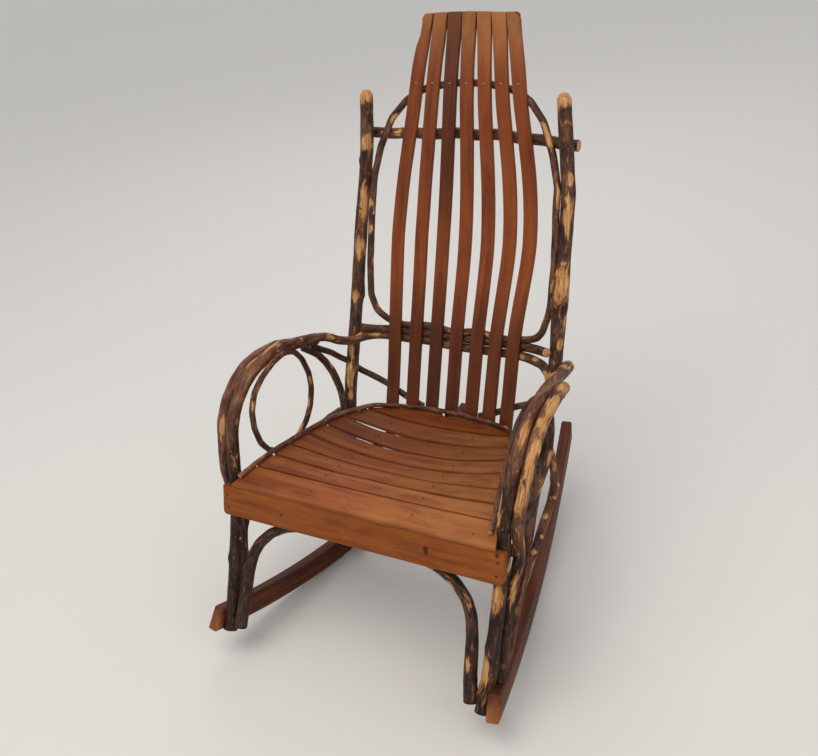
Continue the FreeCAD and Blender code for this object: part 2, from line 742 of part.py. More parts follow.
# Upper back bow: behind the slats at arm height, its cut ends nailed to the posts' fronts

BOW_WRAP_DEGREES = 55.0


def post_front_point(z, radius, degrees):
    """Centre of a stick that touches the post on its inner front at a height."""
    post = post_at(z)
    reach = size("post_radius") + radius + 2 * gap
    return Vector(post.x - reach * math.cos(math.radians(degrees)),
                  post.y - reach * math.sin(math.radians(degrees)), z)


def upper_bow_path():
    radius = size("upper_bow_radius")
    middle_z = size("upper_bow_height")
    end = post_front_point(size("upper_bow_end_height"), radius, BOW_WRAP_DEGREES)
    middle_y = behind_slats(middle_z, radius)
    edge = 3 * slat_pitch(middle_z) + size("slat_width") / 2
    half = [Vector(0, middle_y, middle_z),
            Vector(edge / 2, middle_y, middle_z),
            Vector(edge, middle_y, middle_z)]
    for share, bend_share in ((0.45, 0.3), (0.75, 0.62)):
        half.append(Vector(between(edge, end.x, share), between(middle_y, end.y, bend_share),
                           between(middle_z, end.z, bend_share)))
    half.append(end)
    left = [Vector(-p.x, p.y, p.z) for p in reversed(half[1:])]
    return left + half


add_shape("back_bow_upper", stick(upper_bow_path(), [size("upper_bow_radius")] * 2, 11))

# Arm bow: the long U from arm to arm, in front of the posts and behind the slats

arm_bow_height = size("arm_height") - size("arm_bow_drop")
right_end_height = size("arm_height") - size("arm_bow_right_end_drop")
ARM_BOW_SIDE_SHARES = [(0.42, 0.26), (0.74, 0.55)]
ARM_BOW_LEFT_SHARES = [
    # run forward from the post to the end, rise from the post to the arm's upper inner side
    (0.3, 0.45), (0.5, 0.8), (0.75, 1.0), (1.0, 1.0),
]


def arm_bow_middle():
    radius = size("arm_bow_radius")
    middle_z = arm_bow_height
    middle_y = behind_slats(middle_z, radius)
    edge = 3 * slat_pitch(middle_z) + size("slat_width") / 2
    wrap = post_front_point(middle_z, radius, 66.0)
    points = [Vector(edge / 2, middle_y, middle_z), Vector(edge, middle_y, middle_z)]
    for share, bend_share in ARM_BOW_SIDE_SHARES:
        points.append(Vector(between(edge, wrap.x, share), between(middle_y, wrap.y, bend_share),
                             middle_z + size("clearance")))
    points.append(wrap)
    return points


def arm_bow_path():
    radius = size("arm_bow_radius")
    reach = size("arm_radius") + radius + 2 * gap
    right = arm_bow_middle()
    beside_brace = arm_brace_path(SIDES["right"])
    brace = lookup([(-p.z, p.x) for p in beside_brace], -right_end_height)
    setback = lookup([(-p.z, p.y) for p in beside_brace], -right_end_height)
    beside = size("arm_brace_radius") + radius + 2 * gap
    right_end = Vector(brace - beside, setback, right_end_height)
    wrap = right[-1]
    right.append(Vector(between(wrap.x, right_end.x, 0.86), between(wrap.y, right_end.y, 0.5),
                        between(wrap.z, right_end.z, 0.42)))
    right.append(right_end)
    left = arm_bow_middle()
    for run_share, rise_share in ARM_BOW_LEFT_SHARES:
        y = between(wrap.y, size("arm_bow_left_end_setback"), run_share)
        arm = arm_at(y)
        lift = between(wrap.z - arm.z, reach * 0.42, rise_share)
        inward = math.sqrt(max(reach ** 2 - lift ** 2, (reach * 0.3) ** 2))
        left.append(Vector(arm.x - inward, y, arm.z + lift))
    centre = Vector(0, behind_slats(arm_bow_height, radius), arm_bow_height)
    return [Vector(-p.x, p.y, p.z) for p in reversed(left)] + [centre] + right


add_shape("back_bow_arm_to_arm", stick(arm_bow_path(), [size("arm_bow_radius")] * 2, 17))

# Long back hoop: an oval behind the slats, resting on the upper bow, its sides by the posts

BACK_HOOP_SHARES = [
    # half width, height from bottom to top, lean of the side runs towards the posts' line
    (0.48, 0.0, 0.0), (0.72, 0.003, 0.0), (0.85, 0.025, 0.25), (0.925, 0.06, 0.6),
    (0.965, 0.12, 0.85), (0.98, 0.26, 1.0), (0.99, 0.363, 1.0), (0.995, 0.463, 1.0),
    (1.0, 0.562, 1.0), (0.975, 0.665, 0.9), (0.905, 0.763, 0.65), (0.81, 0.857, 0.35),
    (0.665, 0.927, 0.08), (0.48, 0.97, 0.0), (0.24, 0.993, 0.0),
]


def back_hoop_path():
    radius = size("back_hoop_radius")
    top = size("back_hoop_top_height")
    bottom = size("upper_bow_height") + size("upper_bow_radius") + radius + gap
    right = []
    for width_share, height_share, lean_share in BACK_HOOP_SHARES:
        z = between(bottom, top, height_share)
        slat_line = behind_slats(z, radius)
        post_line_y = post_at(z).y - gap
        y = between(slat_line, min(post_line_y, slat_line), lean_share)
        right.append(Vector(width_share * size("back_hoop_half_width"), y, z))
    crown = [Vector(0, behind_slats(top, radius), top)]
    left = [Vector(-p.x, p.y, p.z) for p in reversed(right)]
    start = Vector(radius / 2, right[0].y, bottom)
    end = Vector(-radius / 2, right[0].y, bottom)
    return [start] + right + crown + left + [end]


add_shape("back_hoop", stick(back_hoop_path(), [size("back_hoop_radius")] * 2, 28))

# Diagonal braces: from under each arm, round the outside of the post, behind the slats

DIAGONAL_SHARES = [
    # drop from the arm to the end, inward run, setback run, up to the post
    (0.0, 0.0, 0.0), (0.12, 0.24, 0.34), (0.28, 0.6, 0.72), (0.39, 0.94, 0.93),
]
DIAGONAL_POST_WRAP = [(0.5, 0.62, 0.85), (0.585, -0.16, 1.06)]
DIAGONAL_END_SHARES = [(0.68, 0.25, 0.32), (0.77, 0.48, 0.62), (0.9, 0.75, 0.94)]


def diagonal_path(side):
    radius = size("diagonal_radius")
    arm = arm_at(size("diagonal_setback"))
    top = arm - Vector(radius * 0.7, 0, size("arm_radius") + radius + gap)
    end_z = size("diagonal_end_height")
    clear = size("post_radius") + radius + 2 * gap
    pass_z = between(top.z, end_z, 0.4)
    post = post_at(pass_z, side)
    outside = Vector(post.x + clear, post.y + 2 * gap, pass_z)
    points = []
    for drop_share, inward_share, setback_share in DIAGONAL_SHARES:
        points.append(Vector(between(top.x, outside.x, inward_share),
                             between(top.y, outside.y, setback_share),
                             between(top.z, end_z, drop_share)))
    for drop_share, aside_share, behind_share in DIAGONAL_POST_WRAP:
        z = between(top.z, end_z, drop_share)
        post = post_at(z, side)
        points.append(Vector(post.x + clear * aside_share, post.y + clear * behind_share, z))
    behind = points[-1]
    end_x = size("diagonal_end_spread")
    for drop_share, inward_share, setback_share in DIAGONAL_END_SHARES:
        z = between(top.z, end_z, drop_share)
        y = between(behind.y, behind_slats(z, radius) + gap, setback_share)
        points.append(Vector(between(behind.x, end_x, inward_share), y, z))
    points.append(Vector(end_x, behind_slats(end_z, radius) + gap, end_z))
    return points


for side_name, side in SIDES.items():
    add_shape("diagonal_brace_" + side_name,
              stick(mirrored(diagonal_path(side), side), [size("diagonal_radius")] * 2, 10))

# Seat surface: level at the front, dished across the middle, its sides gently raised

SEAT_ROWS = [
    # share of depth, half width, side rise, dish
    (0.0, 1.0, 0.0, 0.02), (0.042, 0.968, 0.16, 0.03), (0.127, 0.943, 0.39, 0.07),
    (0.21, 0.921, 0.55, 0.19), (0.288, 0.886, 0.71, 0.37), (0.371, 0.85, 0.81, 0.58),
    (0.457, 0.818, 0.9, 0.88), (0.548, 0.789, 0.97, 1.0), (0.642, 0.75, 1.0, 0.97),
    (0.738, 0.711, 0.94, 0.74), (0.834, 0.657, 0.77, 0.5), (0.906, 0.6, 0.71, 0.37),
    (0.951, 0.464, 0.7, 0.3), (0.982, 0.286, 0.68, 0.26), (0.997, 0.107, 0.68, 0.25),
    (1.0, 0.03, 0.68, 0.25),
]


def seat_row(y, column):
    share = (y + size("seat_advance")) / size("seat_depth")
    return lookup([(row[0], row[column]) for row in SEAT_ROWS], share)


def seat_half(y):
    return seat_row(y, 1) * size("seat_half_width")


def seat_side_height(y):
    return size("seat_front_height") + seat_row(y, 2) * size("seat_side_rise")


def seat_drop(y):
    return seat_row(y, 3) * size("seat_dish")


def seat_top(x, y):
    share = min(abs(x) / seat_half(y), 1.0)
    return seat_side_height(y) - seat_drop(y) * (1 - share ** 2)


def slat_section(y):
    """Outline across the seat at a setback: an arc above, the same arc below."""
    half = seat_half(y)
    high = seat_side_height(y)
    low = high - seat_drop(y)
    thick = Vector(0, 0, size("seat_slat_thickness"))
    left, middle, right = Vector(-half, y, high), Vector(0, y, low), Vector(half, y, high)
    top = Part.Arc(left, middle, right).toShape()
    end = Part.makeLine(right, right - thick)
    bottom = Part.Arc(right - thick, middle - thick, left - thick).toShape()
    start = Part.makeLine(left - thick, left)
    return Part.Wire([top, end, bottom, start])


SEAT_LINE_SHARES = [0.0, 0.148, 0.262, 0.374, 0.499, 0.624, 0.752, 0.893, 1.0]


def seat_slat_stops(number):
    """Setbacks of the sections that a seat slat is drawn through, front to rear."""
    front = SEAT_LINE_SHARES[number - 1] * size("seat_depth") - size("seat_advance")
    rear = SEAT_LINE_SHARES[number] * size("seat_depth") - size("seat_advance")
    if number > 1:
        front = front + size("seat_slat_gap") / 2
    if number < len(SEAT_LINE_SHARES) - 1:
        return [front, rear - size("seat_slat_gap") / 2]
    tail = [row[0] * size("seat_depth") - size("seat_advance") for row in SEAT_ROWS]
    return [front] + [y for y in tail if y > front + size("seat_slat_gap")]


def seat_slat(number):
    return Part.makeLoft([slat_section(y) for y in seat_slat_stops(number)], True, True)


for number in range(1, len(SEAT_LINE_SHARES)):
    add_shape("seat_slat_%d" % number, seat_slat(number))

# Seat trim: a split bow nailed round the edge of the slats, its ends cut at the front


def trim_half():
    radius = size("seat_trim_radius")
    start = (size("seat_trim_end_setback") + size("seat_advance")) / size("seat_depth")
    rows = [(start, 0.0)] + [(row[0], 0.0) for row in SEAT_ROWS if row[0] > start + 0.02]
    points = []
    for share, unused in rows:
        y = share * size("seat_depth") - size("seat_advance")
        x = max(seat_half(y) - radius * 0.4, 0)
        slope = 2 * seat_drop(y) / seat_half(y) if share < 0.93 else 0.0
        lift = radius * math.hypot(1, slope) + 2 * gap
        points.append(Vector(x, y, seat_side_height(y) + lift))
    return points[:-1]


def trim_path():
    right = trim_half()
    rear = size("seat_depth") - size("seat_advance")
    middle = Vector(0, rear + gap, right[-1].z)
    left = [Vector(-p.x, p.y, p.z) for p in right]
    return left + [middle] + list(reversed(right))


add_shape("seat_trim_bow", stick(trim_path(), [size("seat_trim_radius")] * 2, 20))

# Battens: two bent sticks under the slats, from the front board to the rear stretcher


def batten_path():
    points = []
    steps = 9
    for step in range(steps):
        share = step / (steps - 1)
        y = between(size("batten_front_setback"), size("batten_rear_setback"), share)
        x = between(size("batten_front_spread"), size("batten_rear_spread"), share)
        under = min(seat_top(x, y), seat_top(x - size("batten_radius") / 2, y))
        points.append(Vector(x, y, under - size("seat_slat_thickness") - size("batten_radius")
                             - 2 * gap))
    return points


BATTEN_PATH = batten_path()
for side_name, side in SIDES.items():
    add_shape("seat_batten_" + side_name,
              stick(mirrored(BATTEN_PATH, side), [size("batten_radius")] * 2, 9))


def batten_height(y):
    return lookup([(p.y, p.z) for p in BATTEN_PATH], y)


# Stretchers: one behind the front legs, one between the back posts, the battens on both

front_leg = leg_at(size("seat_front_height") - 3 * size("stretcher_radius"))
front_setback = front_leg.y + size("leg_radius") + size("stretcher_radius") + 3 * gap
front_height = (batten_height(front_setback) - size("batten_radius") - size("stretcher_radius")
                - gap)
front_half = front_leg.x + size("front_stretcher_overhang")
add_rod("seat_front_stretcher", "stretcher_radius", 2 * front_half,
        Vector(-front_half, front_setback, front_height), Vector(1, 0, 0))

rear_height = (BATTEN_PATH[-1].z - size("batten_radius") - size("stretcher_radius") - gap)
rear_left = post_at(rear_height, SIDES["left"])
rear_right = post_at(rear_height, SIDES["right"])
rear_start = -rear_left.x + size("post_radius") + 2 * gap
rear_end = rear_right.x - size("post_radius") - 2 * gap
add_rod("seat_rear_stretcher", "stretcher_radius", rear_end - rear_start,
        Vector(rear_start, rear_left.y, rear_height), Vector(1, 0, 0))

# Side rails: from behind the front stretcher to the fronts of the posts, the hoops on them

SIDE_RAIL_SHARES = [(0.0, 0.0), (0.24, 0.0), (0.47, 0.04), (0.7, 0.4), (0.86, 0.72), (1.0, 1.0)]


def side_rail_path(side):
    radius = size("side_rail_radius")
    start_y = front_setback + size("stretcher_radius") + gap
    post = post_at(hoop_foot, side)
    end = Vector(post.x + 2 * gap, post.y - size("post_radius") - radius * 0.35, hoop_foot)
    points = []
    for run_share, inward_share in SIDE_RAIL_SHARES:
        points.append(Vector(between(hoop_spread, end.x, inward_share),
                             between(start_y, end.y, run_share), hoop_foot))
    return points


for side_name, side in SIDES.items():
    add_shape("side_rail_" + side_name,
              stick(mirrored(side_rail_path(side), side), [size("side_rail_radius")] * 2, 7))

# Side braces: stand on the rockers, curve round outside the arm hoops, end on the posts

SIDE_BRACE_SHARES = [
    # setback from foot to post, height from foot to end, spread from foot to belly, belly to post
    (0.0, 0.0, 0.0, 0.0), (0.054, 0.3, 0.65, 0.0), (0.105, 0.53, 1.0, 0.0), (0.2, 0.66, 1.0, 0.0),
    (0.315, 0.725, 1.0, 0.04), (0.43, 0.775, 1.0, 0.08), (0.515, 0.825, 1.0, 0.14),
    (0.675, 0.87, 1.0, 0.24), (0.76, 0.905, 1.0, 0.34), (0.88, 0.952, 1.0, 0.64),
    (1.0, 1.0, 1.0, 1.0),
]


def side_brace_path(side):
    radius = size("side_brace_radius")
    foot_y = size("side_brace_foot_setback")
    foot = Vector(rocker_inner_face(foot_y) + rocker_width_across / 2, foot_y,
                  rocker_bottom(foot_y) + size("rocker_depth") + radius * 0.3)
    end_z = size("side_brace_end_height")
    post = post_at(end_z, side)
    end = Vector(post.x + size("post_radius") + radius + gap, post.y - radius * 0.5, end_z)
    points = []
    for run_share, height_share, belly_share, post_share in SIDE_BRACE_SHARES:
        x = between(foot.x, size("side_brace_spread"), belly_share)
        points.append(Vector(between(x, end.x, post_share),
                             between(foot_y, end.y, run_share),
                             between(foot.z, end_z, height_share)))
    return points


for side_name, side in SIDES.items():
    add_shape("side_brace_" + side_name,
              stick(mirrored(side_brace_path(side), side), [size("side_brace_radius")] * 2, 12))

# Rear rung: low between the back posts

rung_left = post_at(size("rear_rung_height"), SIDES["left"])
rung_right = post_at(size("rear_rung_height"), SIDES["right"])
rung_start = -rung_left.x + size("post_radius") + 3 * gap
rung_end = rung_right.x - size("post_radius") - 3 * gap
add_rod("rear_rung", "rear_rung_radius", rung_end - rung_start,
        Vector(rung_start, rung_left.y, size("rear_rung_height")), Vector(1, 0, 0))

# Front arch: springs from the feet of the legs and passes behind the front board

front_arch_height = size("seat_front_height") - size("front_arch_drop")
FRONT_ARCH_SHARES = [
    # half spread, height, run back from the leg line to the board's back
    (1.0, 0.0, 0.0), (0.975, 0.2, 0.17), (0.965, 0.36, 0.33), (0.955, 0.52, 0.5),
    (0.925, 0.67, 0.66), (0.86, 0.79, 0.8), (0.755, 0.885, 0.9), (0.61, 0.95, 0.97),
    (0.42, 0.985, 1.0), (0.2, 1.0, 1.0),
]


def front_arch_path():
    radius = size("front_arch_radius")
    foot_leg = leg_at(size("front_arch_foot_height"))
    foot_x = foot_leg.x - size("leg_radius") - radius - 2 * gap
    back_y = (-size("seat_advance") - (board_top - front_arch_height) * math.tan(board_lean)
              + (size("board_thickness") + gap) / math.cos(board_lean) + radius
              * math.cos(board_lean) + radius * math.sin(board_lean) + gap)
    right = []
    for spread_share, height_share, run_share in FRONT_ARCH_SHARES:
        right.append(Vector(foot_x * spread_share, between(foot_leg.y, back_y, run_share),
                            between(size("front_arch_foot_height"), front_arch_height,
                                    height_share)))
    crown = Vector(0, back_y, front_arch_height)
    left = [Vector(-p.x, p.y, p.z) for p in right]
    return left + [crown] + list(reversed(right))


add_shape("front_arch", stick(front_arch_path(), [size("front_arch_radius")] * 2, 19))

# Nail heads, small discs seated on the wood


NAIL_HEAD_SIDES = 10


def nail(place, normal):
    """A cut nail head: a low many-sided disc on the wood."""
    turn = Rotation(Vector(0, 0, 1), normal)
    rim = [place + turn.multVec(Vector(math.cos(angle), math.sin(angle), 0)
                                * size("nail_head_radius"))
           for angle in (2 * math.pi * n / NAIL_HEAD_SIDES for n in range(NAIL_HEAD_SIDES))]
    face = Part.Face(Part.makePolygon(rim + rim[:1]))
    return face.extrude(Vector(normal).normalize() * size("nail_head_height"))


def back_slat_nails():
    heads = []
    rows = [size("slat_top_height") - size("cleat_drop") - size("cleat_height") / 2,
            size("back_hoop_top_height"), size("upper_bow_height"),
            arm_bow_height - size("arm_bow_radius") / 2]
    for z in rows:
        slope = slat_slope(z)
        normal = Vector(0, -1, slope)
        normal.normalize()
        pitch = slat_pitch(z)
        least = SLAT_PROFILE_SHARES[-1][2]
        aside = size("slat_fan_shift") * (pitch / size("slat_bulge_pitch") - least) / (1 - least)
        for number in range(1, SLAT_COUNT + 1):
            x = (number - (SLAT_COUNT + 1) / 2) * pitch - aside
            seat = Vector(x, slat_front(z), z) + normal * gap
            heads.append(nail(seat, normal))
    return Part.makeCompound(heads)


def seat_slat_nails():
    heads = []
    for number in range(1, len(SEAT_LINE_SHARES)):
        middle = (SEAT_LINE_SHARES[number - 1] + SEAT_LINE_SHARES[number]) / 2
        spread = between(size("batten_front_spread"), size("batten_rear_spread"), middle)
        step = size("nail_head_radius")
        before, after = seat_slat_stops(number)[:2]
        y = (before + after) / 2
        for x in (-spread, spread):
            across = (seat_top(x + step, y) - seat_top(x - step, y)) / (2 * step)
            along = (seat_top(x, after) - seat_top(x, before)) / (after - before)
            normal = Vector(-across, -along, 1)
            normal.normalize()
            top = (seat_top(x, after) + seat_top(x, before)) / 2
            heads.append(nail(Vector(x, y, top) + normal * gap, normal))
    return Part.makeCompound(heads)


def board_nails():
    heads = []
    low = size("board_height") * 0.3
    high = size("board_height") * 0.72
    for side in SIDES.values():
        for drop in (low, high):
            lean = Vector(0, math.sin(board_lean), math.cos(board_lean))
            normal = Vector(0, -math.cos(board_lean), math.sin(board_lean))
            seat = Vector(side * leg_at(board_top - drop).x, -size("seat_advance"), board_top)
            heads.append(nail(seat - lean * drop + normal * gap, normal))
    return Part.makeCompound(heads)


add_shape("back_slat_nails", back_slat_nails())
add_shape("seat_slat_nails", seat_slat_nails())
add_shape("front_board_nails", board_nails())

# The chair rolls back on its rockers until it balances, and the origin is put under it

doc.recompute()
pivot = Vector(0, size("contact_setback"), size("rocker_arc_radius"))
roll = Placement(Vector(0, 0, 0), Rotation(Vector(1, 0, 0), -size("rest_lean_degrees")), pivot)
for piece in pieces:
    piece.Placement = roll.multiply(piece.Placement)
doc.recompute()
box = FreeCAD.BoundBox()
for piece in pieces:
    box.add(piece.Shape.optimalBoundingBox(False, False))
shift = Vector(-(box.XMin + box.XMax) / 2, -(box.YMin + box.YMax) / 2, -box.ZMin)
for piece in pieces:
    place = piece.Placement
    piece.Placement = Placement(place.Base + shift, place.Rotation)
doc.recompute()

for item in doc.Objects:
    if "Invalid" in item.State or "Error" in item.State:
        raise RuntimeError("%s did not rebuild: %s" % (item.Name, item.State))
for piece in pieces:
    if piece.Shape.isNull() or not piece.Shape.isValid():
        raise RuntimeError("%s has no valid solid" % piece.Label)

for piece in pieces:
    piece.Shape.exportStep("parts/%s.step" % piece.Label)
print("pieces", len(pieces), "box", box, "moved by", shift)
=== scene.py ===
# Hickory rocking chair: the looks of its bark-on saplings, oak slats, board and rockers.
import math
import random

import bmesh
import bpy
import numpy as np
from mathutils import Matrix, Vector, noise
from mathutils.bvhtree import BVHTree


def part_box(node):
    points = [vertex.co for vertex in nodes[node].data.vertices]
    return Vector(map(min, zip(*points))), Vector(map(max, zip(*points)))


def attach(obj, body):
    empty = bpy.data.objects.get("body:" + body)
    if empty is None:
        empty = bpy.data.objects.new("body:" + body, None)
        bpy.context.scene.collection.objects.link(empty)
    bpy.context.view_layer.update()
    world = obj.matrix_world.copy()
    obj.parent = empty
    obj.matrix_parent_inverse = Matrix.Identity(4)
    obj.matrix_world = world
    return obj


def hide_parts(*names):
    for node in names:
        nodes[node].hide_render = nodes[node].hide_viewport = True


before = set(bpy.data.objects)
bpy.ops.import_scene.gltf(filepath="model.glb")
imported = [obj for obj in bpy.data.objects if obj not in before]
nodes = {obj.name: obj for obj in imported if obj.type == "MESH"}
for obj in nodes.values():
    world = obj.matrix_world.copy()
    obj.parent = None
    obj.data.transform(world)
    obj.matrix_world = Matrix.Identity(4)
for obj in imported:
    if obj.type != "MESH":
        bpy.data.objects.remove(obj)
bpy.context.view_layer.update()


def new_object(name, data):
    """A new object in the scene."""
    made = bpy.data.objects.new(name, data)
    bpy.context.scene.collection.objects.link(made)
    return made


# Camera: where the picture was taken from, and what it saw along each axis

EYE = Vector((0.907, -1.4621, 1.4997))
RIGHT = Vector((0.8747, 0.4680, -0.1259))
DOWN = Vector((0.1469, -0.5036, -0.8514))
FORWARD = Vector((-0.4619, 0.7262, -0.5093))
PICTURE = (818, 756)
FOCAL_PIXELS = 1000.0
SENSOR_MM = 36.0

camera_data = bpy.data.cameras.new("camera")
camera_data.sensor_width = SENSOR_MM
camera_data.lens = SENSOR_MM * FOCAL_PIXELS / PICTURE[0]
camera = new_object("camera", camera_data)
axes = Matrix((RIGHT, -DOWN, -FORWARD)).transposed()
camera.matrix_world = Matrix.Translation(EYE) @ axes.to_4x4()
bpy.context.scene.camera = camera


def sight(across, down):
    """Direction from the eye through a point of the picture."""
    return (FORWARD + RIGHT * ((across - PICTURE[0] / 2) / FOCAL_PIXELS)
            + DOWN * ((down - PICTURE[1] / 2) / FOCAL_PIXELS)).normalized()


# Shaders

VARNISH_IOR = 1.48


def tint(code):
    """An sRGB hex colour as the linear values that a shader takes."""
    parts = [int(code[n:n + 2], 16) / 255 for n in (1, 3, 5)]
    return tuple(c / 12.92 if c <= 0.04045 else ((c + 0.055) / 1.055) ** 2.4
                 for c in parts) + (1.0,)


def add(tree, kind, settings=None, out=0, **inputs):
    """Adds a shader node with its settings and links, and gives one of its outputs.

    An input is a value, an sRGB hex colour or another node's output. Its name has _ for a
    space, and _6 is the input numbered 6."""
    made = tree.nodes.new("ShaderNode" + kind)
    for name, value in (settings or {}).items():
        if name == "stops":
            stops = made.color_ramp.elements
            while len(stops) < len(value):
                stops.new(0.5)
            for stop, (place, colour) in zip(stops, value):
                stop.position = place
                stop.color = tint(colour) if isinstance(colour, str) else (colour,) * 3 + (1.0,)
        else:
            setattr(made, name, value)
    for name, value in inputs.items():
        socket = made.inputs[int(name[1:]) if name[1:].isdigit() else name.replace("_", " ")]
        if isinstance(value, bpy.types.NodeSocket):
            tree.links.new(value, socket)
        else:
            socket.default_value = tint(value) if isinstance(value, str) else value
    return made.outputs[out]


def carried(tree, name, out=2):
    """What the points of a piece carry under a name: a number, or from output 1 a place."""
    return add(tree, "Attribute", {"attribute_name": name}, out)


def ramp(tree, value, *stops):
    """The colour or grey that a value gets from stops, each a value with its colour or grey."""
    return add(tree, "ValToRGB", {"stops": stops}, Fac=value)


def mix(tree, share, one, other):
    """Two colours mixed, with this share of the second."""
    return add(tree, "Mix", {"data_type": "RGBA"}, 2, _0=share, _6=one, _7=other)


def reckon(tree, operation, *values):
    """The outcome of an operation on values."""
    inputs = {"_%d" % n: value for n, value in enumerate(values)}
    return add(tree, "Math", {"operation": operation}, **inputs)


def new_material(name, place, patterns, **shader):
    """A material, with the values given on its main shader, and its noise patterns.

    Each pattern is so many millimetres across the piece and along it, with its detail,
    roughness and twist. The place is a value that the piece's points carry, or nothing for a
    CAD node, whose grain runs along its first axis."""
    material = bpy.data.materials.new(name)
    material.use_nodes = True
    tree = material.node_tree
    main = tree.nodes["Principled BSDF"]
    for socket, value in shader.items():
        main.inputs[socket.replace("_", " ")].default_value = value
    if place:
        space = carried(tree, place, 1)
    else:
        space = add(tree, "Mapping", Vector=add(tree, "TexCoord", out=3),
                    Rotation=(0.0, math.pi / 2, 0.0))
    seen = {}
    for pattern, (across, along, detail, rough, twist) in patterns.items():
        scaled = add(tree, "Mapping", Vector=space,
                     Scale=(1000 / across, 1000 / across, 1000 / along))
        seen[pattern] = add(tree, "TexNoise", Vector=scaled, Scale=1.0, Detail=detail,
                            Roughness=rough, Distortion=twist)
    return material, tree, seen


def dress(material, colour, roughness, height, depth):
    """Gives a material its colour, its roughness and a relief so many millimetres deep."""
    tree = material.node_tree
    main = tree.nodes["Principled BSDF"]
    relief = add(tree, "Bump", Strength=1.0, Distance=depth / 1000, Height=height)
    tree.links.new(colour, main.inputs["Base Color"])
    tree.links.new(roughness, main.inputs["Roughness"])
    tree.links.new(relief, main.inputs["Normal"])
    return material


# Hickory bark, left on the bent sapling and varnished: near black-brown where it is whole, a
# soft red-brown where hands have rubbed it, and pale orange-tan wood where it has come away
def hickory_bark():
    material, tree, seen = new_material("hickory_bark_varnished", "stick_place", {
        "blotches": (20, 60, 5.0, 0.6, 0.6), "furrows": (2.0, 26, 4.0, 0.6, 0.6),
        "scuffs": (5, 15, 5.0, 0.68, 0.4), "edge": (13, 42, 6.0, 0.66, 1.0),
        "grain": (2.4, 40, 5.0, 0.6, 0.4)}, IOR=VARNISH_IOR, Specular_IOR_Level=0.25)
    bare = carried(tree, "bare")
    worn = carried(tree, "worn")
    whole = ramp(tree, seen["blotches"],
                 (0.34, "#1A100B"), (0.46, "#2E1C13"), (0.56, "#4A3021"), (0.68, "#6E4C34"))
    rubbed = ramp(tree, seen["blotches"],
                  (0.32, "#3E2019"), (0.44, "#5C3326"), (0.55, "#784C3B"), (0.67, "#9E745A"))
    kept = mix(tree, worn, whole, rubbed)
    # Painted shade: a negative value darkens the bark of low parts towards #150D09
    dirt_and_painted_shade = reckon(tree, "MULTIPLY", worn, -1.0)
    bark = mix(tree, dirt_and_painted_shade, kept, "#150D09")
    groove = ramp(tree, seen["furrows"], (0.36, 0.75), (0.52, 0.0))
    lined = mix(tree, groove, bark, "#140C08")
    rub = ramp(tree, seen["scuffs"], (0.56, 0.0), (0.7, 0.65))
    scuffed = mix(tree, rub, lined, "#8A6042")
    # wood shows where the piece's own patches and the noise together pass a mark
    shown = reckon(tree, "MULTIPLY_ADD", seen["edge"], 2.4, bare)
    level = reckon(tree, "ADD", shown, -1.2)
    patch = ramp(tree, level, (0.46, 0.0), (0.52, 1.0))
    rim = ramp(tree, level, (0.48, 0.9), (0.78, 0.0))
    around = ramp(tree, level, (0.3, 0.0), (0.46, 0.6))
    browned = mix(tree, around, scuffed, "#6A432A")
    wood = ramp(tree, seen["grain"],
                (0.3, "#7A4826"), (0.43, "#A8743F"), (0.56, "#C49560"), (0.72, "#D9B585"))
    inner = mix(tree, rim, wood, "#7A4A28")
    colour = mix(tree, patch, browned, inner)
    gloss = reckon(tree, "MULTIPLY_ADD", seen["furrows"], 0.3, 0.36)
    ridges = reckon(tree, "MULTIPLY_ADD", seen["scuffs"], 0.5, seen["furrows"])
    height = reckon(tree, "MULTIPLY_ADD", patch, -0.6, ridges)
    return dress(material, colour, gloss, height, 0.9)


# Hickory end grain, sawn and rubbed smooth: tan, with dirt rubbed into it
def hickory_end():
    material, tree, seen = new_material("hickory_sawn_end", "stick_place", {
        "rings": (3, 3, 4.0, 0.5, 1.5), "dirt_and_painted_shade": (6, 6, 4.0, 0.6, 0.0)}, IOR=VARNISH_IOR)
    wood = ramp(tree, seen["rings"], (0.35, "#94613A"), (0.5, "#B98455"), (0.68, "#CFA074"))
    dirt_and_painted_shade = ramp(tree, seen["dirt_and_painted_shade"], (0.48, 0.0), (0.7, 0.7))
    colour = mix(tree, dirt_and_painted_shade, wood, "#6A4228")
    gloss = reckon(tree, "MULTIPLY_ADD", seen["dirt_and_painted_shade"], 0.2, 0.45)
    return dress(material, colour, gloss, seen["rings"], 0.3)


